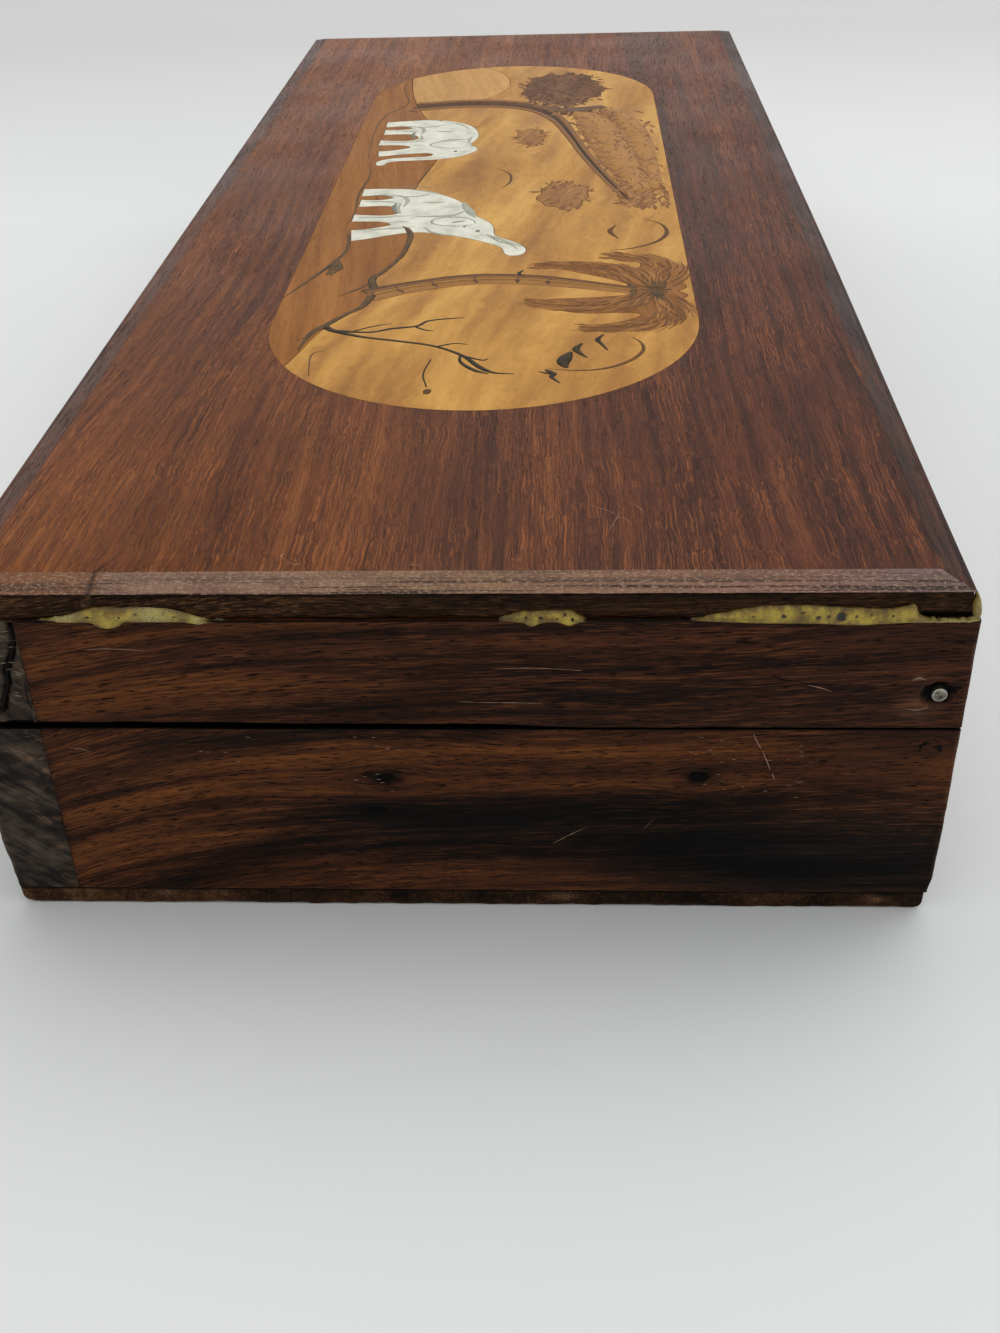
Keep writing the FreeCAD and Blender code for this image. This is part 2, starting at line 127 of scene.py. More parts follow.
def piece(name, points, faces, material, body, nodes=(), values=None, sharp=None, picks=None):
    """A mesh piece from points in mm, riding on a body, with named values at its points.

    The material may be a list, and picks then says which one each face takes."""
    mesh = bpy.data.meshes.new(name)
    mesh.from_pydata((np.asarray(points) * MM).tolist(), [], [list(map(int, face)) for face in faces])
    mesh.validate()
    for key, numbers in (values or {}).items():
        layer = mesh.attributes.new(key, "FLOAT", "POINT")
        layer.data.foreach_set("value", np.asarray(numbers, np.float32))
    mesh.shade_smooth()
    if sharp:
        mesh.set_sharp_from_angle(angle=math.radians(sharp))
    for one in material if isinstance(material, list) else [material]:
        mesh.materials.append(one)
    if picks is not None:
        mesh.polygons.foreach_set("material_index", np.asarray(picks, np.int32))
    made = bpy.data.objects.new(name, mesh)
    bpy.context.scene.collection.objects.link(made)
    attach(made, body)
    if nodes:
        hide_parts(*nodes)
    return made


# Shader helpers

def srgb(red, green, blue):
    """A colour given as it looks on a screen, from 0 to 255, as the shader wants it."""
    def channel(value):
        share = value / 255
        return share / 12.92 if share <= 0.04045 else ((share + 0.055) / 1.055) ** 2.4
    return (channel(red), channel(green), channel(blue), 1.0)


class Shader:
    """A material that is put together node by node, with places in mm."""

    def __init__(self, name):
        self.material = bpy.data.materials.new(name)
        self.material.use_nodes = True
        self.tree = self.material.node_tree
        self.tree.nodes.clear()
        coordinates = self.node("TexCoord")
        self.place = self.vector("MULTIPLY", coordinates.outputs["Object"], (1 / MM,) * 3)

    def node(self, kind, values=None, **settings):
        made = self.tree.nodes.new("ShaderNode" + kind)
        for key, value in settings.items():
            setattr(made, key, value)
        for key, value in (values or {}).items():
            if isinstance(value, bpy.types.NodeSocket):
                self.tree.links.new(value, made.inputs[key])
            else:
                made.inputs[key].default_value = value
        return made

    def vector(self, operation, first, second):
        return self.node("VectorMath", {0: first, 1: second}, operation=operation).outputs[0]

    def math(self, operation, first, second=0.0, clamp=False):
        return self.node("Math", {0: first, 1: second}, operation=operation, use_clamp=clamp).outputs[0]

    def remap(self, value, low, high, to_low=0.0, to_high=1.0):
        values = {0: value, 1: low, 2: high, 3: to_low, 4: to_high}
        return self.node("MapRange", values).outputs[0]

    def mix(self, share, first, second, blend="MIX"):
        values = {0: share, 6: first, 7: second}
        return self.node("Mix", values, data_type="RGBA", blend_type=blend).outputs[2]

    def noise(self, where, stretch=(1, 1, 1), detail=2.0, roughness=0.5, distortion=0.0):
        stretched = self.vector("MULTIPLY", where, stretch)
        values = {"Vector": stretched, "Scale": 1.0, "Detail": detail, "Roughness": roughness,
                  "Distortion": distortion}
        return self.node("TexNoise", values)

    def value(self, name):
        return self.node("Attribute", attribute_name=name).outputs["Fac"]

    def ramp(self, value, stops):
        made = self.node("ValToRGB", {0: value})
        elements = made.color_ramp.elements
        while len(elements) < len(stops):
            elements.new(0.5)
        for element, (place, colour) in zip(elements, stops):
            element.position = place
            element.color = colour
        return made.outputs[0]

    def bump(self, height, strength, distance, normal=None):
        values = {"Height": height, "Strength": strength, "Distance": distance * MM}
        if normal is not None:
            values["Normal"] = normal
        return self.node("Bump", values).outputs[0]

    def finish(self, colour, roughness, normal=None, **more):
        values = {"Base Color": colour, "Roughness": roughness}
        if normal is not None:
            values["Normal"] = normal
        values.update({key.replace("_", " "): value for key, value in more.items()})
        surface = self.node("BsdfPrincipled", values)
        self.node("OutputMaterial", {"Surface": surface.outputs[0]})
        return self.material


def wood(name, order, ramps, offset=(0, 0, 0), slope=0.0, layers=(0.0, 1.0), sizes=(7.0, 1.2, 0.16),
         shares=(0.45, 0.35, 0.2), spread=(0.33, 0.67), pores=0.6, pore_size=(0.2, 2.2), fleck=None,
         fleck_share=0.5, fleck_size=(0.2, 7.0), curl=0.0, wander=5.0, gloss=(0.4, 0.52), relief=0.05,
         shine=0.06, shorter=1.0):
    """Solid wood: bands, streaks, fibres, pores and pale flecks that run along one axis."""
    shader = Shader(name)
    moved = shader.vector("ADD", shader.place, offset)
    split = shader.node("SeparateXYZ", {0: moved})
    along, across, deep = (split.outputs["XYZ".index(axis)] for axis in order)
    shifted = shader.math("ADD", across, shader.value("shift"))
    sloped = shader.math("ADD", shifted, shader.math("MULTIPLY", along, slope))
    sloped = shader.math("ADD", sloped, shader.math("MULTIPLY", deep, layers[0]))
    deep = shader.math("MULTIPLY", deep, layers[1])
    grain = shader.node("CombineXYZ", {0: along, 1: sloped, 2: deep}).outputs[0]
    sway = shader.noise(grain, (0.014, 0.035, 0.035), 2.0)
    sway_amount = shader.vector("SUBTRACT", sway.outputs["Color"], (0.5, 0.5, 0.5))
    grain = shader.vector("ADD", grain, shader.vector("MULTIPLY", sway_amount, (0.0, wander, wander)))
    if curl:
        ripple = shader.noise(grain, (0.3, 0.22, 0.22), 2.0, 0.6)
        ripple_amount = shader.vector("SUBTRACT", ripple.outputs["Color"], (0.5, 0.5, 0.5))
        grain = shader.vector("ADD", grain, shader.vector("MULTIPLY", ripple_amount, (0.0, curl, curl)))
    broad, streak, fibre = sizes
    band = shader.noise(grain, (0.05 * shorter / broad, 1 / broad, 1 / broad), 3.0, 0.55).outputs[0]
    line = shader.noise(grain, (0.03 * shorter / streak, 1 / streak, 1 / streak), 3.0, 0.6).outputs[0]
    hair = shader.noise(grain, (0.05 / fibre, 1 / fibre, 1 / fibre), 2.0, 0.6).outputs[0]
    total = shader.math("MULTIPLY", band, shares[0])
    total = shader.math("ADD", total, shader.math("MULTIPLY", line, shares[1]))
    total = shader.math("ADD", total, shader.math("MULTIPLY", hair, shares[2]))
    tone = shader.math("ADD", shader.remap(total, *spread), shader.value("tone"), clamp=True)
    colour = shader.ramp(tone, ramps[0])
    if len(ramps) > 1:
        colour = shader.mix(shader.value("cool"), colour, shader.ramp(tone, ramps[1]))
    if fleck:
        thin, long = fleck_size
        spark = shader.noise(grain, (1 / long, 1 / thin, 1 / thin), 1.0, 0.5).outputs[0]
        patch = shader.noise(grain, (0.06, 0.16, 0.16), 2.0).outputs[0]
        amount = shader.math("MULTIPLY", shader.remap(spark, 0.54, 0.66), shader.remap(patch, 0.36, 0.6, 0.1, 1.0))
        amount = shader.math("MULTIPLY", amount, shader.remap(tone, 0.1, 0.5, 0.25, 1.0))
        colour = shader.mix(shader.math("MULTIPLY", amount, fleck_share), colour, srgb(*fleck))
    thin, long = pore_size
    pore_noise = shader.noise(grain, (1 / long, 1 / thin, 1 / thin), 1.0, 0.5).outputs[0]
    pore = shader.remap(pore_noise, 0.58, 0.68)
    colour = shader.mix(shader.math("MULTIPLY", pore, pores), colour, srgb(12, 7, 5))
    slate = shader.ramp(tone, [(0.0, srgb(10, 9, 9)), (0.5, srgb(36, 31, 28)), (1.0, srgb(84, 72, 62))])
    colour = shader.mix(shader.value("grey"), colour, slate)
    worn = shader.math("MULTIPLY", shader.value("wear"), shader.remap(hair, 0.35, 0.65), clamp=True)
    colour = shader.mix(worn, colour, shader.mix(0.5, colour, srgb(160, 118, 90)))
    # Darkens towards near black: dirt in joints and knots, and painted shade in the parting line, hollows, gaps and
    # under the slab's lip.
    colour = shader.mix(shader.value("dirt"), colour, srgb(4, 3, 2))
    gleam = shader.noise(shader.place, (0.05, 0.05, 0.05), 3.0).outputs[0]
    rough = shader.math("ADD", shader.remap(gleam, 0.35, 0.65, *gloss), shader.math("MULTIPLY", pore, 0.2))
    height = shader.math("SUBTRACT", shader.math("MULTIPLY", hair, 0.5), pore)
    normal = shader.bump(height, 0.6, relief)
    return shader.finish(colour, rough, normal, Specular_IOR_Level=shine)


lid_warm = [(0.0, srgb(58, 27, 11)), (0.3, srgb(82, 41, 17)), (0.55, srgb(99, 53, 23)),
            (0.8, srgb(117, 66, 29)), (1.0, srgb(140, 83, 38))]
lid_cool = [(0.0, srgb(36, 15, 9)), (0.3, srgb(60, 27, 14)), (0.55, srgb(79, 38, 21)),
            (0.8, srgb(97, 51, 28)), (1.0, srgb(120, 68, 39))]
board_warm = [(0.0, srgb(13, 7, 5)), (0.3, srgb(44, 23, 13)), (0.55, srgb(70, 38, 20)),
              (0.8, srgb(98, 56, 26)), (1.0, srgb(128, 78, 36))]
board_cool = [(0.0, srgb(8, 6, 5)), (0.3, srgb(25, 15, 12)), (0.55, srgb(47, 26, 18)),
              (0.8, srgb(70, 38, 25)), (1.0, srgb(94, 54, 34))]
base_ramp = [(0.0, srgb(10, 5, 2)), (0.4, srgb(30, 17, 8)), (0.7, srgb(54, 33, 18)), (1.0, srgb(92, 64, 38))]
rim_ramp = [(0.0, srgb(10, 6, 4)), (0.5, srgb(36, 22, 13)), (1.0, srgb(76, 50, 29))]
sky_ramp = [(0.0, srgb(142, 94, 42)), (0.35, srgb(168, 117, 53)), (0.6, srgb(186, 135, 62)),
            (1.0, srgb(208, 158, 80))]
pale_ramp = [(0.0, srgb(158, 112, 60)), (0.5, srgb(186, 140, 82)), (1.0, srgb(204, 158, 98))]
ground_ramp = [(0.0, srgb(112, 64, 28)), (0.5, srgb(142, 90, 40)), (1.0, srgb(164, 108, 52))]
brown_ramp = [(0.0, srgb(100, 63, 32)), (0.5, srgb(134, 87, 45)), (1.0, srgb(160, 108, 58))]
leaf_ramp = [(0.0, srgb(116, 76, 42)), (0.5, srgb(150, 105, 62)), (1.0, srgb(176, 128, 78))]
trunk_ramp = [(0.0, srgb(128, 86, 46)), (0.5, srgb(152, 106, 56)), (1.0, srgb(174, 124, 68))]
dark_ramp = [(0.0, srgb(70, 44, 30)), (0.5, srgb(102, 68, 46)), (1.0, srgb(130, 90, 62))]

lid_wood = wood("lid_rosewood", "XYZ", [lid_warm, lid_cool], sizes=(9.0, 1.3, 0.2), shares=(0.28, 0.42, 0.3),
                pores=0.45, pore_size=(0.15, 9.0), fleck=(164, 95, 44), fleck_share=0.54, fleck_size=(0.15, 14.0),
                curl=0.7, gloss=(0.28, 0.38), shine=0.095)
rim_wood = wood("rim_edge", "YZX", [rim_ramp], sizes=(2.0, 0.5, 0.14), shares=(0.35, 0.35, 0.3), pores=0.7,
                pore_size=(0.16, 1.6), fleck=(120, 80, 46), fleck_share=0.5, fleck_size=(0.14, 1.3),
                gloss=(0.5, 0.65), relief=0.1)
end_wood = wood("board_rosewood_end", "YZX", [board_warm, board_cool], offset=(40, 13, 7), sizes=(3.6, 0.9, 0.16),
                shares=(0.4, 0.4, 0.2), spread=(0.31, 0.69), pores=0.9, pore_size=(0.15, 1.5),
                fleck=(122, 72, 38), fleck_share=0.45, fleck_size=(0.2, 4.0))
rail_wood = wood("rail_rosewood_end", "YZX", [board_warm, board_cool], offset=(11, 57, 23), slope=-0.03,
                 sizes=(3.2, 0.8, 0.16), shares=(0.38, 0.42, 0.2), spread=(0.3, 0.7), pores=0.9,
                 pore_size=(0.16, 1.8), fleck=(116, 68, 38), fleck_share=0.45, fleck_size=(0.2, 4.0))
long_wood = wood("board_rosewood_long", "XZY", [board_warm, board_cool], offset=(5, 31, 17), layers=(0.8, 0.3),
                 sizes=(5.0, 1.1, 0.18), pores=0.7, fleck=(124, 70, 36), fleck_share=0.4)
base_wood = wood("base_wood", "XYZ", [base_ramp], offset=(3, 19, 41), sizes=(6.0, 1.0, 0.2), pores=0.4,
                 fleck=(116, 78, 46), fleck_share=0.3, fleck_size=(0.3, 2.0))


def bevel_finish():
    """Slanted end grain: greyish, with brown saw lines along it, ticks across it and pale sparkle."""
    shader = Shader("bevel_end")
    hue = shader.ramp(shader.value("cool"), [
        (0.0, srgb(114, 68, 34)), (0.3, srgb(130, 98, 80)), (0.55, srgb(130, 97, 70)),
        (0.8, srgb(124, 86, 70)), (1.0, srgb(100, 82, 82))])
    lower = shader.remap(shader.value("shift"), 0.25, 0.6, 0.3, 1.0)
    patch = shader.noise(shader.place, (0.6, 0.2, 0.6), 3.0, 0.6).outputs[0]
    lines = shader.noise(shader.place, (2.6, 0.03, 0.0), 1.0, 0.5).outputs[0]
    ticks = shader.noise(shader.place, (0.9, 6.5, 0.0), 2.0, 0.6).outputs[0]
    spark = shader.noise(shader.place, (5.0, 2.0, 5.0), 2.0, 0.7).outputs[0]
    dark = shader.math("MULTIPLY", shader.remap(patch, 0.42, 0.6), 0.55)
    colour = shader.mix(dark, hue, srgb(96, 68, 52))
    colour = shader.mix(shader.math("MULTIPLY", shader.remap(ticks, 0.52, 0.62), 0.5), colour, srgb(84, 56, 42))
    saw = shader.math("MULTIPLY", shader.remap(lines, 0.51, 0.55), shader.remap(spark, 0.35, 0.62, 1.0, 0.7))
    saw = shader.math("MULTIPLY", saw, lower)
    saw = shader.math("MULTIPLY", saw, shader.remap(shader.value("cool"), 0.0, 0.25, 0.45, 1.0))
    colour = shader.mix(saw, colour, srgb(42, 25, 18))
    colour = shader.mix(shader.math("MULTIPLY", shader.remap(spark, 0.53, 0.63), 0.4), colour, srgb(178, 150, 128))
    # Near black where the slab's crack crosses the bevel: dirt and painted shade.
    colour = shader.mix(shader.value("dirt"), colour, srgb(22, 12, 7))
    height = shader.math("SUBTRACT", spark, saw)
    return shader.finish(colour, shader.remap(spark, 0.3, 0.7, 0.45, 0.6), shader.bump(height, 0.6, 0.06),
                         Specular_IOR_Level=0.16)


bevel_wood = bevel_finish()


def repaint(node, material, drop=inlay_drop):
    """Give a carried-over CAD piece its finish, and let it lie a hair below the lid's face."""
    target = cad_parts[node]
    target.data.materials.clear()
    target.data.materials.append(material)
    if drop:
        sunk = target.modifiers.new("sunk", "DISPLACE")
        sunk.direction = "Z"
        sunk.mid_level = 0.0
        sunk.strength = -drop * MM
    return target


# Worn boards: a fine-meshed box whose edges are rounded by an uneven amount

edge_names = [a + b for a, b in itertools.product(("x-", "x+", "y-", "y+"), ("y-", "y+", "z-", "z+"))
              if a[0] != b[0]]


def grid_lines(low, high, step, extra=()):
    """Places of the mesh lines along one axis: close together at both ends and at extras."""
    near = np.array([0.0, 0.12, 0.3, 0.55, 0.9, 1.4])
    near = near[near < (high - low) * 0.4]
    count = max(int(round((high - low - 2 * near[-1]) / step)), 1)
    inner = np.linspace(low + near[-1], high - near[-1], count + 1)[1:-1]
    fixed = np.concatenate([low + near, high - near, extra])
    inner = [line for line in inner if np.min(np.abs(fixed - line)) > step * 0.3]
    return np.unique(np.concatenate([fixed, inner]).round(4))


def box_surface(lines):
    """Points and faces of a box's surface over three sets of mesh lines."""
    counts = [len(line) for line in lines]
    index = np.indices(counts)
    outer = np.zeros(counts, bool)
    for axis in range(3):
        outer |= (index[axis] == 0) | (index[axis] == counts[axis] - 1)
    number = -np.ones(counts, int)
    number[outer] = np.arange(outer.sum())
    grid = np.stack(np.meshgrid(*lines, indexing="ij"), axis=-1)
    faces = []
    for axis in range(3):
        for side in (0, counts[axis] - 1):
            sheet = np.take(number, side, axis=axis)
            quads = np.stack([sheet[:-1, :-1], sheet[1:, :-1], sheet[1:, 1:], sheet[:-1, 1:]], -1)
            quads = quads.reshape(-1, 4)
            flip = (side == 0) != (axis == 1)
            faces.append(quads[:, ::-1] if flip else quads)
    return grid[outer], np.vstack(faces)


def worn_board(name, nodes, body, material, steps, softness=None, extra=((), (), ()), default=0.22,
               notches=(), relief=None, shade=None, reshape=None, seed=1):
    """A board with uneven rounded edges, in the place of a CAD node."""
    low, high = mm_box(nodes[0])
    lines = [grid_lines(low[axis], high[axis], steps[axis], extra[axis]) for axis in range(3)]
    flat, faces = box_surface(lines)
    weight_sum = np.zeros(len(flat))
    radius = np.zeros(len(flat))
    for edge in edge_names:
        gaps = []
        for axis_name, side in (edge[0:2], edge[2:4]):
            axis = "xyz".index(axis_name)
            gaps.append(flat[:, axis] - (low if side == "-" else high)[axis])
        weight = 1 / (gaps[0] ** 2 + gaps[1] ** 2 + 0.02) ** 2
        weight_sum += weight
        radius += weight * (softness or {}).get(edge, default)
    radius /= weight_sum
    uneven = 1 + 0.35 * noise(flat, 5.0, seed) + 0.3 * noise(flat, 1.4, seed + 1)
    chips = smoothstep(0.5, 0.9, noise(flat, (6, 6, 6), seed + 2)) * 0.9
    radius = radius * (uneven + chips)
    radius = np.minimum(np.minimum(radius, 1.39)[:, None], (high - low) * 0.45)
    core = np.clip(flat, low + radius, high - radius)
    outward = (flat - core) / radius
    length = np.linalg.norm(outward, axis=1, keepdims=True)
    direction = outward / np.maximum(length, 1e-9)
    points = core + direction * radius
    ordered = np.sort(np.abs(direction), axis=1)
    wear = np.clip(2 * ordered[:, 1] * ordered[:, 2], 0, 1) * (0.5 + 0.5 * noise(flat, 3.0, seed + 3))
    dips = 0.02 + 0.02 * noise(flat, 9.0, seed + 4) + 0.012 * noise(flat, 1.1, seed + 5)
    points = points - direction * np.clip(dips, 0, 1)[:, None]
    values = {"wear": wear * 0.6}
    for key in ("tone", "cool", "shift", "dirt", "grey"):
        values[key] = np.zeros(len(flat))
    if relief is not None:
        on_end = flat[:, 0] > high[0] - 1e-6
        depth = relief(flat[:, 1], flat[:, 2])
        points[:, 0] -= np.where(on_end, depth, 0)
        # Pits, knots, splits and the opened seam get darker with their depth: dirt, and painted shade in the hollows.
        values["dirt"] += np.where(on_end, smoothstep(0.12, 0.35, depth), 0)
    if shade is not None:
        shade(flat, values)
    if reshape is not None:
        reshape(flat, points)
    for corner_low, corner_high, axis, level, side in notches:
        inside = np.all((flat >= np.array(corner_low) - 0.001) & (flat <= np.array(corner_high) + 0.001), axis=1)
        limited = np.minimum if side < 0 else np.maximum
        points[:, axis] = np.where(inside, limited(points[:, axis], level), points[:, axis])
    return piece(name, points, faces, material, body, nodes, values)


hinge_boxes = {side: mm_box(side + "_hinge_body_leaf") for side in ("left", "right")}
leaf_edges = []
mortise_slack = 0.1
for leaf_low, leaf_high in hinge_boxes.values():
    leaf_edges += [leaf_low[0] - mortise_slack, leaf_high[0] + mortise_slack]
leaf_inner_y = 42.5 + 1.1 - mortise_slack
back_lines = [edge + offset for edge in leaf_edges for offset in (-0.01, 0.01)]
back_depth_lines = [leaf_inner_y - 0.01, leaf_inner_y + 0.01]


def mortise_notches(upper):
    """The pockets for the hinge leaves in the lid's or the body's parting face."""
    notches = []
    for left, right in zip(leaf_edges[0::2], leaf_edges[1::2]):
        if upper:
            low = (left, leaf_inner_y, rail_low[2])
            high = (right, 60, rail_low[2] + 0.95)
            notches.append((low, high, 2, rail_low[2] + 0.95, 1))
        else:
            low = (left, leaf_inner_y, board_high[2] - 0.95)
            high = (right, 60, board_high[2])
            notches.append((low, high, 2, board_high[2] - 0.95, -1))
    return notches


brad_y = 47.2
lid_brad_z = 28.2
body_brad_z = 21.6


def ragged_pit(y, z, centre, radii, depth, seed):
    """A hole with a torn rim."""
    away_y = (y - centre[0]) / radii[0]
    away_z = (z - centre[1]) / radii[1]
    torn = 0.22 * noise(np.stack([y, z, y * 0], -1), 0.7, seed)
    return depth * smoothstep(1.25, 0.85, np.hypot(away_y, away_z) + torn)


def groove(y, z, line, width, depth):
    """A V-shaped groove along a broken line."""
    best = np.full(y.shape, 1e9)
    for start, end in zip(line[:-1], line[1:]):
        span = np.subtract(end, start)
        share = np.clip(((y - start[0]) * span[0] + (z - start[1]) * span[1]) / np.dot(span, span), 0, 1)
        best = np.minimum(best, np.hypot(y - start[0] - share * span[0], z - start[1] - share * span[1]))
    return depth * np.clip(1 - best / width, 0, 1)


def rail_relief(y, z):
    """The filed brad's hole with its split, and shallow marks, in the lid's right end."""
    depth = ragged_pit(y, z, (brad_y - 0.2, lid_brad_z + 0.12), (1.4, 1.2), 0.55, 31)
    depth += groove(y, z, [(brad_y + 0.9, lid_brad_z + 0.5), (brad_y + 2.0, lid_brad_z + 0.75)], 0.35, 0.4)
    depth += 0.5 * ragged_pit(y, z, (45.0, 30.1), (0.45, 0.3), 0.3, 32)
    open_left = smoothstep(-20, -46, y) * smoothstep(rail_low[2] + 0.9, rail_low[2], z)
    return depth + 0.2 * open_left


def opened_seam(flat, points):
    """The lid frame's lower edge is worn up at the left, so that the parting line gapes there."""
    near = smoothstep(end_x - 5, end_x - 1, flat[:, 0]) * smoothstep(rail_low[2] + 1.2, rail_low[2], flat[:, 2])
    gape = 0.26 * smoothstep(12, 2, flat[:, 1]) + 0.16 * smoothstep(-4, -34, flat[:, 1])
    points[:, 2] += near * (gape * (1 + 0.2 * noise(flat, 3.0, 45)) - 0.14 * smoothstep(4, 14, flat[:, 1]))


def board_relief(y, z):
    """The filled brad hole and knots in the body's right end."""
    depth = ragged_pit(y, z, (brad_y, body_brad_z), (1.0, 0.95), 0.16, 33)
    depth += ragged_pit(y, z, (-7.5, 17.6), (0.9, 0.55), 0.3, 35)
    depth += ragged_pit(y, z, (-8.6, 13.4), (1.1, 0.35), 0.3, 36)
    depth += ragged_pit(y, z, (24.5, 17.9), (1.0, 0.6), 0.35, 37)
    open_left = smoothstep(-20, -46, y) * smoothstep(board_high[2] - 0.9, board_high[2], z)
    return depth + 0.3 * open_left


def parting_line_shade(flat, level):
    """Black in the outer rim of a parting face, a painted shade, so that the closed lid shows a black line."""
    rim = smoothstep(2.2, 0.9, end_x - flat[:, 0])
    return rim * smoothstep(0.2, 0.02, np.abs(flat[:, 2] - level))


def board_shade(flat, values):
    """Tones over the body's right end: orange bands that dip to the left, dark heartwood, knots."""
    y, z = flat[:, 1], flat[:, 2]
    values["shift"] += 8.5 * np.exp(-(y + 42.5) / 22)
    places = [-43, -39, -30, -20, -10, 0, 12, 25, 38, 50]
    for heights, halves, strengths in (
            ([12, 12.8, 16.4, 18.8, 20.9, 21.6, 21.3, 20.8, 20.4, 20.0], (2.2, 1.3), (0.24, 0.14)),
            ([6.5, 8.8, 12.6, 14.9, 16.8, 17.5, 17.3, 17.3, 17.0, 17.0], (1.2, 0.9), (0.14, 0.16)),
            ([-4, -1, 4.2, 8.6, 12.4, 12.6, 11.0, 9.6, 7.6, 6.6], (1.6, 6.0), (-0.3, -0.4)),
            ([20.5, 21.5, 22.4, 23, 23.4, 23.5, 23.4, 23.4, 23.2, 23.2], (0.9, 0.6), (-0.14, -0.16))):
        centre = np.interp(y, places, heights) + 0.5 * noise(flat * (0, 1, 0), 7.0, 48)
        half = np.interp(y, (-43, 30), halves)
        values["tone"] += np.interp(y, (-43, 30), strengths) * np.exp(-((z - centre) / half) ** 2)
    values["tone"] += blobs(y, z, [
        (36, 4.2, 12, 2.6, -0.2), (4, 4.6, 14, 1.3, 0.16),
        (-8.0, 13.4, 2.6, 0.9, -0.5), (-7.5, 17.6, 1.5, 0.9, -0.6), (24.5, 17.9, 1.6, 0.9, -0.6),
        (0, 8.6, 12, 3.2, -0.14), (22, 7.4, 10, 4.0, -0.16), (27.6, 16.4, 2.4, 1.2, 0.12), (49, 19, 2.5, 4, 0.12), (46, 22, 10, 1.6, -0.12), (-40, 21, 8, 2.4, 0.14),
    ]) - 0.04
    values["cool"] += np.clip(blobs(y, z, [(-4, 11, 14, 4, 0.6), (24, 9, 24, 5, 0.8), (38, 6, 16, 7, 0.6),
                                           (-28, 23, 14, 1.6, 0.5)]), 0, 1)
    for knot_y, knot_z, size in ((-7.5, 17.6, 1.0), (-8.5, 13.4, 0.7), (24.5, 17.9, 1.0)):
        near = np.exp(-((y - knot_y) / (4 * size)) ** 2 - ((z - knot_z) / (2.0 * size)) ** 2)
        values["shift"] -= 0.8 * (z - knot_z) * near
    values["dirt"] += np.clip(blobs(y, z, [(-7.5, 17.6, 0.9, 0.6, 0.9), (-8.5, 13.4, 1.4, 0.5, 0.7),
                                           (24.5, 17.9, 1.0, 0.65, 0.9)]), 0, 1)
    values["grey"] += np.clip(blobs(y, z, [(38, 6, 18, 6, 0.75), (4, 11.5, 14, 1.6, 0.4)]), 0, 1)
    edge_dirt(flat, values)
    values["dirt"] += parting_line_shade(flat, board_high[2])


def rail_shade(flat, values):
    """Tones over the lid's right end: browner at the left, reddish and darker to the right."""
    y, z = flat[:, 1], flat[:, 2]
    values["shift"] += 3.5 * np.exp(-(y + 42.5) / 22)
    values["tone"] += blobs(y, z, [
        (-38, 30, 14, 5.0, 0.2), (-38, 35.4, 8, 1.0, 0.1), (-18, 29, 12, 4.0, 0.06), (22, 34, 16, 2.0, 0.08), (10, 34.6, 12, 1.0, 0.2), (-14, 34.8, 16, 1.0, -0.14),
        (-14, 31.6, 14, 0.9, -0.16), (4, 28.6, 14, 1.3, -0.14), (0, 26.2, 24, 0.9, -0.12), (30, 30.5, 22, 3.4, -0.05),
        (36, 26.6, 8, 0.7, 0.1), (47.0, 28.0, 2.6, 2.2, 0.1),
    ]) - 0.05
    values["cool"] += 0.75 * smoothstep(-24, 22, y)
    values["wear"] += 0.5 * blobs(y, z, [(45.2, 26.8, 1.8, 1.3, 1.0), (45.0, 30.2, 0.5, 0.3, 2.0)])
    edge_dirt(flat, values)
    values["dirt"] += parting_line_shade(flat, rail_low[2])


def edge_dirt(flat, values):
    """Black dirt in the joint with the next board."""
    y = flat[:, 1]
    joint = np.exp(-np.abs(y + 42.5) / 0.25)
    values["dirt"] += 0.8 * joint * (0.6 + 0.4 * noise(flat, 1.5, 41))


def front_end_shade(flat, values):
    """Slate-grey end grain at both ends of a long board, flaky, with pale chips at its joint."""
    at_end = smoothstep(1.0, 0.1, np.minimum(flat[:, 0].max() - flat[:, 0], flat[:, 0] - flat[:, 0].min()))
    y, z = flat[:, 1], flat[:, 2]
    upper = z > rail_low[2] - 0.5
    values["tone"] += at_end * (0.24 * noise(flat, (4, 1.6, 0.5), 44) + np.where(upper, 0.14, 0.02))
    values["cool"] += at_end
    values["grey"] = at_end
    flakes = smoothstep(0.35, 0.8, noise(flat, (4, 1.1, 0.45), 47)) * smoothstep(-46.5, -43, y)
    slate = smoothstep(-45.9, -45.2, y) * smoothstep(27.4, 26.6, z + 0.5 * (y + 44)) * (z > rail_low[2] - 0.1)
    values["wear"] += at_end * (0.8 * flakes * (1 - slate) + 0.5 * blobs(y, z, [(-44.6, 20.4, 1.3, 1.0, 1.0)]))
    values["dirt"] += at_end * 0.2 * (0.5 + 0.5 * noise(flat, (4, 1.2, 1.2), 43)) * (1 - slate)
    level = board_high[2] if z.max() < seam_z - 5 else rail_low[2]
    values["dirt"] += parting_line_shade(flat, level)


def worn_foot(flat, points):
    """The front board's lower outer edge is rubbed away towards the right end."""
    near = smoothstep(end_x - 60, end_x - 5, flat[:, 0]) * smoothstep(-46, -50, flat[:, 1])
    points[:, 1] += 0.55 * near * smoothstep(7, 2.2, flat[:, 2])


def worn_corner(flat, points):
    """The right end board's lower back corner is rubbed down to the base."""
    near = smoothstep(46, 49.6, flat[:, 1])
    points[:, 1] -= near * (0.12 * smoothstep(12, 2, flat[:, 2]) + 0.3 * smoothstep(4.4, 2.2, flat[:, 2]))


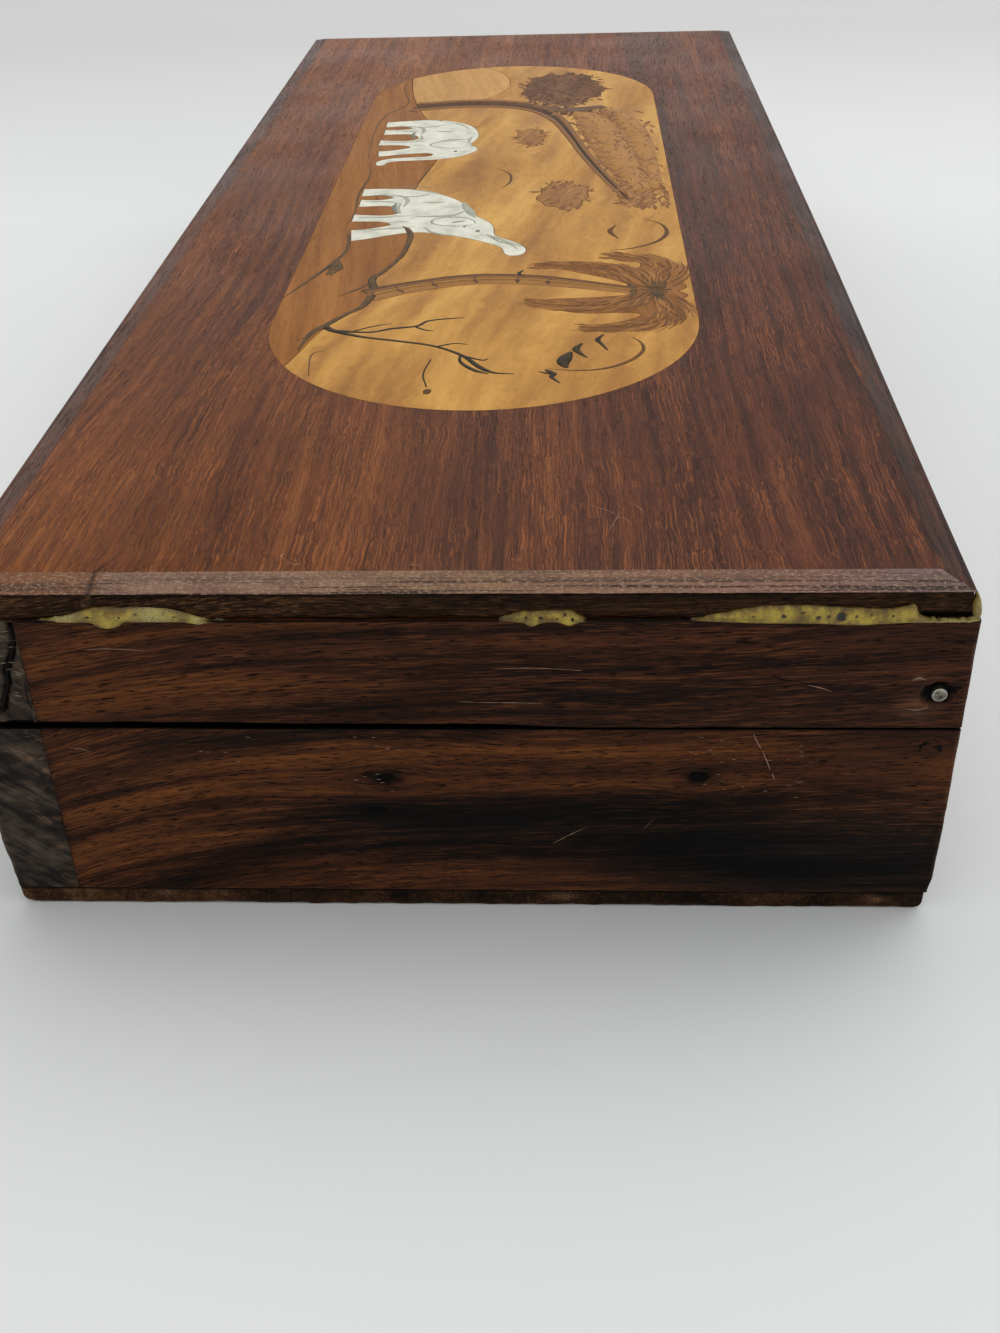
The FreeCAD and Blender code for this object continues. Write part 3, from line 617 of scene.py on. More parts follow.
def split_relief(y, z):
    """A zigzag crack in the end grain of the lid's front rail."""
    crack = [(-42.9, 36.6), (-43.0, 34.4), (-43.4, 32.9), (-44.3, 31.4), (-44.5, 29.6), (-45.3, 27.6), (-45.8, 26.4)]
    facet = 0.25 * smoothstep(27.2, 26.7, z + 0.5 * (y + 44)) * smoothstep(-46.0, -45.4, y)
    return groove(y, z, crack, 0.5, 0.7) + facet * smoothstep(-42.7, -43.0, y)


joint_edges = {"x+y-": 0.08, "x-y-": 0.15, "x+y+": 0.4, "x+z-": 0.14, "x+z+": 0.12}
turned_edges = {"x-y+": 0.08, "x+y+": 0.15, "x-y-": 0.4, "x-z-": 0.14, "x-z+": 0.12}
front_edges = {"x+y-": 0.8, "x+y+": 0.08, "x-y-": 0.08, "y-z-": 0.35, "y-z+": 0.25}
back_edges = {"x-y+": 0.8, "x-y-": 0.08, "x+y+": 0.08, "y+z-": 0.35, "y+z+": 0.25}
fine = 0.4
plain = (1.6, 1.6, 1.2)

worn_board("body_right_end", ["body_right_end_board"], "box_body", end_wood,
           (1.6, fine, fine), joint_edges, relief=board_relief, shade=board_shade, reshape=worn_corner, seed=11)
worn_board("body_left_end", ["body_left_end_board"], "box_body", end_wood,
           (1.6, 1.2, 1.2), turned_edges, seed=12)
worn_board("body_front", ["body_front_board"], "box_body", long_wood,
           (1.8, 0.4, 0.5), front_edges, shade=front_end_shade, reshape=worn_foot, seed=13)
worn_board("body_back", ["body_back_board"], "box_body", long_wood,
           (1.8, 0.9, 0.9), back_edges, extra=(back_lines, back_depth_lines, [board_high[2] - 0.95]),
           notches=mortise_notches(False), shade=front_end_shade, seed=14)
worn_board("lid_right_end", ["lid_right_end_rail"], "lid", rail_wood,
           (1.6, fine, fine), joint_edges, relief=rail_relief, shade=rail_shade, reshape=opened_seam, seed=15)
worn_board("lid_left_end", ["lid_left_end_rail"], "lid", rail_wood,
           (1.6, 1.2, 1.2), turned_edges, seed=16)
worn_board("lid_front", ["lid_front_rail"], "lid", long_wood,
           (1.8, 0.35, 0.35), front_edges, relief=split_relief, shade=front_end_shade, reshape=opened_seam, seed=17)
worn_board("lid_back", ["lid_back_rail"], "lid", long_wood,
           (1.8, 0.9, 0.9), back_edges, extra=(back_lines, back_depth_lines, [rail_low[2] + 0.95]),
           notches=mortise_notches(True), shade=front_end_shade, seed=18)


def base_shade(flat, values):
    """Pale flecks and a dark blotch on the base's right end."""
    y = flat[:, 1]
    end = smoothstep(flat[:, 0].max() - 1, flat[:, 0].max() - 0.2, flat[:, 0])
    values["wear"] += end * 0.9 * blobs(y, flat[:, 2], [(-33, 1.6, 1.0, 0.6, 1), (10.5, 1.4, 1.6, 0.5, 1),
                                                        (44, 1.4, 1.2, 0.5, 0.7)])
    values["dirt"] += end * 0.8 * blobs(y, flat[:, 2], [(-7, 1.4, 1.2, 0.8, 1), (45, 1.9, 1.2, 0.3, 1)])
    values["tone"] += end * (0.3 * smoothstep(-22, -42, y) + 0.22 * noise(flat, (6, 3.4, 1.4), 59))
    values["tone"] -= end * 0.2 * np.exp(-((y - 22) / 9) ** 2)
    inwards = np.minimum(flat[:, 0].max() - np.abs(flat[:, 0]), y.max() - np.abs(y))
    values["dirt"] += 0.8 * smoothstep(1.95, 2.15, flat[:, 2]) * smoothstep(2.4, 1.2, inwards)


def rounded_foot(flat, points):
    """The base's long lower edges are rubbed round, most at the front."""
    low = np.clip((1.15 - flat[:, 2]) / 1.2, 0, 1)
    rubbed = 1.15 * (1 - np.sqrt(1 - low ** 2))
    points[:, 1] -= rubbed * smoothstep(47.2, 49.1, flat[:, 1])
    points[:, 1] += 1.3 * rubbed * smoothstep(-46.8, -49.1, flat[:, 1])


base_edges = {"x+z-": 0.4, "y-z-": 1.2, "y+z-": 1.1, "x+y-": 0.3, "x+y+": 0.12, "x-y-": 0.9, "x-y+": 0.9,
              "x+z+": 0.1, "y-z+": 0.1, "y+z+": 0.1, "x-z+": 0.1}
worn_board("base", ["base_panel"], "box_body", base_wood,
           (1.8, 0.6, 0.25), base_edges, shade=base_shade, reshape=rounded_foot, seed=19)


# The lid's slab: rings of points from the picture's recess out to the rim and back underneath

def slab_ring_points():
    """Unit places round the slab's rim: which side, and how far along it from -1 to 1."""
    sides = []
    for axis, sign, step in ((0, 1, 0.4), (1, 1, 1.3), (0, -1, 1.3), (1, -1, 1.3)):
        length = (slab_high - slab_low)[1 - axis]
        count = int(round(length / step))
        run = np.linspace(-1, 1, count, endpoint=False)
        run = run if (axis, sign) in ((0, 1), (1, -1)) else -run
        fixed = np.full(count, float(sign))
        sides.append(np.stack([fixed, run] if axis == 0 else [run, fixed], -1))
    return np.vstack(sides)


def lid_top_tone_and_sheen(x, y):
    """Broad tones over the lid's top: warm at the front, cool at the back, dark bands, and a painted sheen that
    lightens the far end.
    """
    tone = 0.04 - 0.10 * smoothstep(-10, 40, y)
    tone = tone - 0.05 * np.exp(-((y - 2) / 3.5) ** 2) * smoothstep(70, 120, x)
    tone = tone - 0.12 * np.exp(-((y - 47) / 3) ** 2) * smoothstep(30, 110, x)
    # The last term lightens the far end: a painted sheen.
    tone = tone - 0.08 * smoothstep(-38, -50, y) + 0.2 * smoothstep(0, -110, x)
    return tone


def lid_slab():
    """The slab with its mitred, grooved bevel, rough edge, crack and broken corner."""
    unit = slab_ring_points()
    centre = (slab_low + slab_high)[:2] / 2
    half = (slab_high - slab_low)[:2] / 2
    radius = (panel_high[1] - panel_low[1]) / 2
    reach = (panel_high[0] - panel_low[0]) / 2 - radius

    def rectangle(inset):
        return centre + unit * (half - inset)

    def stadium():
        rim = rectangle(0)
        near = np.clip(rim[:, 0], panel_middle_x - reach, panel_middle_x + reach)
        spine = np.stack([near, np.zeros(len(rim))], -1)
        away = rim - spine
        return spine, spine + away / np.linalg.norm(away, axis=1, keepdims=True) * radius

    spine, recess = stadium()
    floor_z = top_z - 1.2
    bevel = 2.9
    shoulder = top_z - 0.75
    rings = [(spine, floor_z, 0), (0.5 * spine + 0.5 * recess, floor_z, 0), (recess, floor_z, 0),
             (recess, top_z - 0.12, 0), (recess + 0.001 * (rectangle(0) - recess), top_z - 0.02, 0)]
    for share in np.linspace(0, 1, 15)[1:]:
        rings.append(((1 - share) * recess + share * rectangle(bevel + 0.15), top_z, 0))
    for inset in (2.9, 2.65, 2.4, 2.1, 1.8, 1.5, 1.2, 0.95, 0.75, 0.6, 0.45, 0.3, 0.15, 0.05):
        line = shoulder + (top_z - shoulder) * inset / bevel
        line -= 0.06 * math.exp(-((inset - 0.6) / 0.14) ** 2)
        rings.append((rectangle(inset), line, 1))
    for inset, height in ((0.02, -0.06), (0.22, -0.16), (0.24, -0.35), (0.12, -0.6), (0.05, -0.9), (0.0, -1.2),
                          (0.0, -1.5), (0.0, -1.8), (0.0, -2.1), (0.0, -2.4), (0.05, -2.65), (0.2, -2.88)):
        rings.append((rectangle(inset), shoulder + height, 2))
    bottom = slab_low[2]
    rings += [(rectangle(1.5), bottom, 0), (rectangle(9), bottom, 0), (spine, bottom, 0)]
    flat = np.stack([np.column_stack([ring, np.full(len(ring), height)]) for ring, height, _ in rings])
    kind = np.array([ring[2] for ring in rings])[:, None] * np.ones(len(unit))
    count = len(unit)
    points = flat.reshape(-1, 3).copy()
    kind = kind.reshape(-1)
    x, y, z = points.T
    outward = np.tile(np.where(np.abs(unit) > 0.9999, np.sign(unit), 0), (len(rings), 1))
    y -= 0.5 * smoothstep(20, 129, x) * smoothstep(40, 50, y)
    rough = np.clip(0.5 + 0.35 * noise(points, (3, 3, 1.2), 51) + 0.5 * noise(points, (1.4, 1.4, 0.45), 52), 0, 1)
    push = np.where(kind == 2, 0.22 * rough, 0)
    right = smoothstep(end_x - 1.5, end_x - 0.6, x)
    broken = right * smoothstep(43.6, 44.6, y + 0.4 * noise(points, 1.0, 53)) * smoothstep(38.7, 38.1, z)
    push_x = np.where(kind == 2, 0.35 * broken * (0.3 + 0.7 * rough), 0)
    crack_y = -34.6 - 0.4 * np.maximum(shoulder - z, 0) + 0.15 * noise(points, 0.7, 54)
    near_end = smoothstep(slab_high[0] - 5.6, slab_high[0] - 4.2, x) * smoothstep(37.4, 38.2, z)
    crack = near_end * np.exp(-((y - crack_y) / 0.2) ** 2)
    push = push + 0.2 * crack * (kind == 2)
    x -= outward[:, 0] * (push + push_x)
    y -= outward[:, 1] * push
    lift = right * smoothstep(-45.5, -46.5, y) * smoothstep(37.6, 36.8, z) * (kind == 2)
    z += 0.55 * lift
    dotted = np.clip(noise(points, (0.9, 0.5, 0.25), 55), 0, 1)
    z -= np.where(kind == 1, 0.02 + 0.05 * dotted * right, 0)
    z -= np.where((kind == 0) & (z > top_z - 0.01), 0.008 + 0.008 * noise(points, 14.0, 56), 0)
    z -= 0.15 * crack * (kind < 2)
    rows = len(rings)
    faces = []
    picks = []
    at_end = np.abs(unit[:, 0]) > 0.9999
    for row in range(rows - 1):
        here = row * count + np.arange(count)
        there = here + count
        faces.append(np.stack([here, np.roll(here, -1), np.roll(there, -1), there], -1))
        zone = max(rings[row][2], rings[row + 1][2])
        picks.append(np.where(at_end & np.roll(at_end, -1), zone, 2 if zone == 2 else 0))
    along = y + 2.5 * noise(points * (0.2, 1, 1), 5.0, 58)
    hue = np.interp(along, [-52, -36, -35.4, -34.2, -20, -6, 10, 32, 42, 52],
                    [0.0, 0.1, 0.06, 0.34, 0.3, 0.52, 0.62, 0.76, 0.95, 1.0])
    values = {
        "tone": np.where(kind == 0, lid_top_tone_and_sheen(x, y), 0.12 * noise(points, (6.0, 6.0, 2.0), 58))
                - 0.3 * (kind == 1) * (1 - right),
        "cool": np.where(kind == 1, hue, smoothstep(-30, 40, y + 6 * noise(points * (0.2, 1, 1), 7.0, 57)) * 0.95),
        "shift": np.where(kind == 1, np.clip((top_z - z) / (top_z - shoulder), 0, 1),
                          4 * np.exp(-((x - 128) / 60) ** 2) * smoothstep(-10, -50, y)),
        "wear": np.where(kind == 2, 0.9 * crack + 0.35 * broken * rough, 0),
        # Painted shade on the slab: a shadow line under the bevel's lip, the gap under the lifted front corner and the
        # broken back corner's hollow; the crack is dark with dirt and painted shade.
        "dirt": np.clip(0.9 * crack * (kind < 2) + (kind == 2) * broken * (0.1 + 0.9 * smoothstep(37.7, 37.2, z)) + 0.8 * lift
                        + (kind == 2) * smoothstep(0.5, 0.1, shoulder - z), 0, 1),
        "grey": np.zeros(len(points)),
    }
    made = piece("lid_slab_top", np.stack([x, y, z], -1), np.vstack(faces),
                 [lid_wood, bevel_wood, rim_wood], "lid", ["lid_slab"], values, sharp=50,
                 picks=np.concatenate(picks))
    merge = made.modifiers.new("merge", "WELD")
    merge.merge_threshold = 0.004 * MM
    return made


lid_slab()


# Inlaid pieces keep their CAD shapes and get their woods

inlay_woods = {
    "inlay_sky": wood("satinwood", "XYZ", [sky_ramp], offset=(0, 9, 3), slope=0.16, sizes=(9.0, 3.2, 0.5),
                      shares=(0.56, 0.34, 0.1), spread=(0.34, 0.65), pores=0.03, curl=2.6, wander=18.0,
                      shorter=3.5, gloss=(0.3, 0.4), relief=0.02, shine=0.09),
    "inlay_pale_mound": wood("pale_wood", "XYZ", [pale_ramp], offset=(9, 2, 30), slope=-0.2,
                             sizes=(6.0, 1.6, 0.4), pores=0.1, gloss=(0.34, 0.44), relief=0.02),
    "inlay_ground": wood("ground_wood", "XYZ", [ground_ramp], offset=(7, 23, 1), slope=-0.1,
                         sizes=(7.0, 1.8, 0.35), pores=0.06, gloss=(0.34, 0.44), relief=0.02, shorter=1.6),
    "inlay_foliage": wood("foliage_wood", "XYZ", [leaf_ramp], offset=(1, 7, 21), slope=0.3,
                          sizes=(4.0, 1.2, 0.3), pores=0.1, relief=0.02),
    "inlay_palm_fronds": wood("frond_wood", "XYZ", [brown_ramp], offset=(4, 1, 9), slope=-0.2,
                              sizes=(3.0, 0.9, 0.3), pores=0.1, relief=0.02),
    "inlay_palm_trunk": wood("trunk_wood", "YXZ", [trunk_ramp], offset=(2, 5, 8), slope=0.1,
                             sizes=(2.5, 0.9, 0.3), pores=0.15, relief=0.02),
    "inlay_tree": wood("tree_wood", "XYZ", [dark_ramp], offset=(8, 3, 4), slope=-0.3,
                       sizes=(3.0, 0.7, 0.2), pores=0.2, relief=0.02),
    "inlay_tree_crown": wood("crown_wood", "XYZ", [dark_ramp], offset=(6, 6, 6), slope=0.2,
                             sizes=(4.0, 0.9, 0.2), pores=0.2, relief=0.02),
}
for inlay_node, inlay_material in inlay_woods.items():
    repaint(inlay_node, inlay_material)


def bone():
    """Polished white inlay with faint grey clouds and fine scratches."""
    shader = Shader("bone_white")
    cloud = shader.noise(shader.place, (0.35, 0.35, 0.35), 3.0, 0.6).outputs[0]
    fine_lines = shader.noise(shader.place, (0.4, 4.0, 1.0), 2.0).outputs[0]
    colour = shader.ramp(cloud, [(0.3, srgb(184, 183, 164)), (0.46, srgb(209, 207, 188)), (0.7, srgb(226, 223, 205))])
    colour = shader.mix(shader.remap(fine_lines, 0.56, 0.7, 0, 0.2), colour, srgb(160, 159, 142))
    normal = shader.bump(fine_lines, 0.3, 0.02)
    return shader.finish(colour, shader.remap(cloud, 0.3, 0.7, 0.28, 0.4), normal)


bone_material = bone()
repaint("inlay_leading_elephant", bone_material)
repaint("inlay_following_elephant", bone_material)


# Fine drawing: flat lens-shaped strokes let into a face

def stroke_mesh(strokes, to_space, per_span=6):
    """Points and faces for many strokes, each a list of (u, v, width)."""
    points = []
    faces = []
    for stroke in strokes:
        line = smooth_line(stroke, per_span)
        step = np.gradient(line[:, :2], axis=0)
        step /= np.maximum(np.linalg.norm(step, axis=1, keepdims=True), 1e-9)
        side = np.stack([-step[:, 1], step[:, 0]], -1) * np.maximum(line[:, 2:3], 0.02) / 2
        left = line[:, :2] + side
        right = line[:, :2] - side
        start = len(points)
        for spot, one, other in zip(line[:, :2], left, right):
            points += [to_space(*one, -0.004), to_space(*spot, 0.016), to_space(*other, -0.004),
                       to_space(*spot, -0.08)]
        count = len(line)
        for row in range(count - 1):
            here = start + 4 * row
            for corner in range(4):
                after = (corner + 1) % 4
                faces.append((here + corner, here + after, here + 4 + after, here + 4 + corner))
        faces.append((start + 3, start + 2, start + 1, start))
        last = start + 4 * (count - 1)
        faces.append((last, last + 1, last + 2, last + 3))
    return points, faces


def on_picture(x, y, height):
    """A place on the picture from its x and y, with the height over its face."""
    return (x, y, picture_z + height)


def on_right_end(y, z, height):
    """A place on the box's right end from its y and z."""
    return (end_x - 0.016 + height, y, z)


def on_brad(y, z, height):
    """A place on the filed brad in the lid's right end."""
    return (end_x + 0.03 + height, y, z)


def on_slab(x, y, height):
    """A place on the slab's top."""
    return (x, y, top_z - 0.018 + height)


def strokes(name, lines, material, body="lid", slot="dark_wood", to_space=on_picture, per_span=6):
    """One piece holding a set of strokes."""
    points, faces = stroke_mesh(lines, to_space, per_span)
    return piece(name, points, faces, material, body)


def tapered(points, width, tip=0.3):
    """A stroke that is widest in its middle."""
    count = len(points) - 1
    result = []
    for number, (x, y) in enumerate(points):
        share = math.sin(math.pi * number / count) if count else 1
        result.append((x, y, width * (tip + (1 - tip) * share)))
    return result


def ink(name, dark, light):
    """Black lac rubbed into cut lines, a little uneven."""
    shader = Shader(name)
    patch = shader.noise(shader.place, (1.2, 1.2, 1.2), 3.0).outputs[0]
    colour = shader.ramp(patch, [(0.35, srgb(*dark)), (0.65, srgb(*light))])
    normal = shader.bump(patch, 0.3, 0.02)
    return shader.finish(colour, shader.remap(patch, 0.3, 0.7, 0.35, 0.55), normal, Specular_IOR_Level=0.06)


black_ink = ink("black_ink", (34, 34, 30), (70, 56, 34))
brown_ink = ink("brown_ink", (84, 54, 28), (112, 76, 40))
grey_ink = ink("grey_ink", (104, 108, 98), (138, 138, 124))
soft_grey = ink("soft_grey", (150, 152, 136), (174, 174, 155))
slate_ink = ink("slate_ink", (70, 54, 38), (110, 82, 50))


twigs = [
    [(61.6, -21.2, 0.9), (63.4, -19.6, 0.75), (65.6, -15.6, 0.5), (67.3, -10.4, 0.45), (69.0, -6.0, 0.4),
     (72.2, -2.2, 0.45), (76.0, 0.2, 0.6), (77.8, 2.0, 0.4), (78.3, 4.6, 0.15)],
    [(72.4, -2.0, 0.3), (73.8, 0.4, 0.3), (73.4, 1.2, 0.1)],
    [(69.2, -5.6, 0.3), (68.2, -3.4, 0.25), (68.6, -1.6, 0.1)],
    [(63.2, -20.2, 0.6), (64.0, -15.0, 0.4), (62.8, -12.0, 0.45), (62.0, -8.8, 0.4), (60.2, -7.4, 0.35),
     (59.4, -4.6, 0.3), (59.2, -2.6, 0.12)],
    [(62.2, -9.0, 0.3), (63.4, -7.6, 0.25), (63.8, -6.4, 0.1)],
    [(63.6, -17.0, 0.3), (61.8, -14.4, 0.25), (61.0, -12.2, 0.1)],
    [(72.0, -2.4, 0.2), (74.4, -2.2, 0.35), (77.0, -0.4, 0.5), (78.2, 1.4, 0.15)],
    [(73.4, -6.0, 0.12), (78.0, -6.6, 0.14), (82.0, -5.9, 0.12)],
]
birds = [
    [(65.6, 15.8, 0.15), (67.4, 15.0, 0.5), (68.8, 15.4, 0.35), (71.0, 16.2, 0.15)],
    [(68.6, 13.0, 0.2), (70.4, 12.2, 0.7), (71.8, 12.6, 0.5), (73.4, 13.6, 0.15)],
    [(71.4, 11.6, 0.3), (73.4, 10.9, 1.3), (75.0, 10.6, 1.2), (76.6, 11.0, 0.3)],
    [(77.0, 8.4, 0.2), (78.4, 9.4, 0.6), (79.4, 9.2, 0.4), (81.2, 10.2, 0.12)],
    [(77.6, 7.6, 0.1), (78.2, 8.8, 0.35), (78.4, 9.6, 0.2)],
    [(40.6, 4.8, 0.15), (42.0, 4.2, 0.4), (43.6, 5.0, 0.12)],
]
clouds = [
    tapered([(66.8, 19.4), (68.6, 20.5), (71.4, 20.6), (74.6, 18.8), (76.8, 15.8), (77.4, 12.6), (76.8, 8.8)],
            0.42, 0.25),
    tapered([(17.6, 23.0), (20.4, 25.6), (24.8, 26.2), (28.8, 24.4), (31.6, 20.8), (32.4, 17.4)], 0.5, 0.2),
    tapered([(20.4, 18.6), (23.6, 17.6), (27.2, 18.8)], 0.6, 0.2),
    tapered([(-12.0, -1.0), (-8.4, 1.2), (-3.6, 1.4), (0.2, 0.0)], 0.35, 0.2),
]
sky_spot = [[(82.6, -5.6, 0.7), (83.3, -5.7, 1.3), (84.1, -5.8, 0.7)]]
ground_lines = [
    [(19.6, -14.6, 0.5), (21.4, -13.6, 1.3), (25.6, -12.9, 1.4), (33.9, -13.6, 1.1), (40.1, -15.3, 1.3),
     (43.6, -16.7, 1.7), (48.5, -16.0, 1.9), (54.0, -16.7, 1.5), (57.5, -18.8, 1.2), (61.7, -21.2, 1.6),
     (64.4, -22.6, 1.2), (70.0, -23.4, 0.3)],
    [(44.6, -16.6, 0.2), (47.4, -18.2, 0.8), (50.6, -20.8, 0.2)],
    [(22.0, -23.0, 0.2), (26.3, -22.2, 0.9), (31.8, -22.2, 0.9), (39.4, -24.3, 1.0), (45.0, -26.3, 0.8),
     (50.6, -28.4, 0.2)],
    [(64.4, -22.2, 0.4), (65.6, -23.0, 0.5), (66.5, -24.3, 0.15)],
    [(70.0, -19.8, 0.2), (71.6, -21.4, 0.35), (78.3, -20.8, 0.15)],
    tapered([(-17.0, -23.9), (-8.0, -23.0), (2.0, -23.6), (12.0, -23.1), (18.0, -23.6)], 0.6, 0.3),
    tapered([(-86.0, -21.0), (-74.0, -23.0), (-60.0, -21.0), (-50.0, -24.6), (-38.0, -25.4), (-20.0, -24.6)],
            0.5, 0.3),
    tapered([(-14.0, -12.6), (-8.0, -13.6), (-3.0, -14.4)], 0.5, 0.3),
]
tuft = [[(34.6, -23.0, 0.3), (37.6, -22.9, 1.7), (41.6, -23.6, 0.3)], [(35.6, -22.4, 0.2), (38.6, -22.1, 1.2),
        (41.0, -22.6, 0.2)]]
for start in np.linspace(-2.8, 2.8, 9):
    tuft.append([(38.0 + start, -23.2, 0.8), (38.0 + 1.5 * start, -21.8 - 0.12 * start ** 2, 0.15)])
twigs = [[(x, y, 1.5 * width + 0.08) for x, y, width in line] for line in twigs]
birds = [[(x, y, 1.6 * width + 0.1) for x, y, width in line] for line in birds]
clouds = [[(x, y, 1.7 * width) for x, y, width in line] for line in clouds]
ground_lines = [[(x, y, 0.85 * width) for x, y, width in line] for line in ground_lines]
strokes("ink_twigs", twigs, black_ink)
strokes("ink_birds", birds, black_ink)
strokes("ink_clouds", clouds, brown_ink)
strokes("ink_sky_spot", sky_spot, brown_ink)
strokes("ink_ground_lines", ground_lines, slate_ink)
strokes("ink_tuft", tuft, slate_ink)


def palm_drawing():
    """Ribs and drooping leaflets on the fronds, a dark heart, and shade and bands on the trunk."""
    fronds = [[(50.5, 23.5), (44.5, 25.6), (39.6, 23.8), (37.2, 19.8), (36.6, 17.4)],
              [(50.0, 22.6), (45.5, 20.6), (42.0, 16.6), (40.3, 11.0), (40.4, 6.8)],
              [(51.8, 22.0), (54.6, 19.8), (56.6, 15.0), (56.4, 9.6), (55.0, 5.8)],
              [(52.0, 23.6), (57.4, 25.2), (62.6, 23.2), (64.8, 18.0), (64.8, 13.2)]]
    ribs = []
    dark = []
    light = []
    for frond in fronds:
        line = smooth_line(np.array(frond) + (panel_middle_x, 0), 6)
        count = len(line)
        ribs.append([(x, y, 0.5 - 0.3 * number / count) for number, (x, y) in enumerate(line)])
        for number in range(1, count - 1):
            step = line[min(number + 1, count - 1)] - line[number - 1]
            heading = math.atan2(step[1], step[0])
            for side in (-1, 1):
                for depth in (0.5, 1.5):
                    lean = heading + side * RNG.uniform(0.02, 0.16)
                    size = RNG.uniform(4.4, 7.0) * (1.1 - 0.8 * number / count)
                    offset = side * depth * RNG.uniform(0.7, 1.0) * (1.1 - 0.6 * number / count)
                    normal = np.array([-math.sin(heading), math.cos(heading)])
                    start = line[number] + offset * normal
                    end = start + size * np.array([math.cos(lean), math.sin(lean)])
                    middle = (start + end) / 2 + 0.1 * size * side * normal
                    leaf = [(*start, 0.1), (*middle, RNG.uniform(0.45, 0.75)), (*end, 0.08)]
                    (dark if RNG.uniform() < 0.55 else light).append(leaf)
    heart_x, heart_y = 50.8 + panel_middle_x, 23.2
    heart = []
    for number in range(16):
        turn = 2 * math.pi * number / 16
        reach = RNG.uniform(1.6, 3.8)
        across, rise = reach * math.cos(turn) * 1.5, reach * math.sin(turn) * 0.8
        heart.append([(heart_x + across * 0.1, heart_y + rise * 0.1, 0.5),
                      (heart_x + across * 0.6, heart_y + rise * 0.6 + 0.3, 0.7),
                      (heart_x + across, heart_y + rise - 0.3, 0.15)])
    heart.append([(heart_x - 3.0, heart_y - 3.5, 0.4), (heart_x, heart_y - 3.0, 1.3), (heart_x + 3.4, heart_y - 3.4, 0.3)])
    strokes("ink_palm_leaflets", dark, ink("frond_dark", (104, 68, 36), (128, 85, 46)), per_span=3)
    strokes("ink_palm_light", light, ink("frond_light", (146, 99, 52), (166, 115, 62)), slot="brown_wood", per_span=3)
    strokes("ink_palm_ribs", ribs, brown_ink, per_span=1)
    strokes("ink_palm_heart", heart, slate_ink, per_span=3)
    spine = smooth_line([(51.8, -16.6, 5.2), (49.3, -12.4, 4.4), (47.2, -7.6, 4.2), (45.8, -2.7, 4.2),
                         (45.7, 2.1, 4.0), (46.6, 7.7, 3.7), (48.2, 12.6, 3.3), (49.8, 16.9, 2.8),
                         (51.0, 20.4, 2.4)], 5)
    spine[:, 0] += panel_middle_x
    along = np.gradient(spine[:, :2], axis=0)
    along /= np.linalg.norm(along, axis=1, keepdims=True)
    across = np.stack([-along[:, 1], along[:, 0]], -1) * spine[:, 2:] / 2
    edge, inner, middle = (spine[:, :2] + share * across for share in (0.8, 0.5, 0.1))
    shades = [[(x, y, width) for (x, y), width in zip(line, spine[:, 2] * share)]
              for line, share in ((edge, 0.22), (inner, 0.3), (middle, 0.34))]
    shade_inks = [ink("trunk_shade_" + str(number), dark, light) for number, (dark, light) in enumerate((
        ((84, 58, 40), (106, 72, 44)), ((122, 84, 48), (140, 98, 54)), ((146, 102, 54), (160, 114, 60))))]
    for number, (shade, shade_ink) in enumerate(zip(shades, shade_inks)):
        strokes("ink_palm_shade_" + str(number), [shade], shade_ink, per_span=1)
    bands = []
    for height in (9.0, 4.2, -1.3, -7.6, -12.4):
        number = int(np.argmin(np.abs(spine[:, 1] - height)))
        left, right = spine[number, :2] + 0.9 * across[number], spine[number, :2] - 0.75 * across[number]
        bands.append([(*left, 0.9), (*((left + right) / 2 + (0, -0.3)), 1.1), (*right, 0.3)])
    strokes("ink_palm_bands", bands, ink("trunk_band", (84, 58, 42), (104, 72, 50)), per_span=4)


palm_drawing()


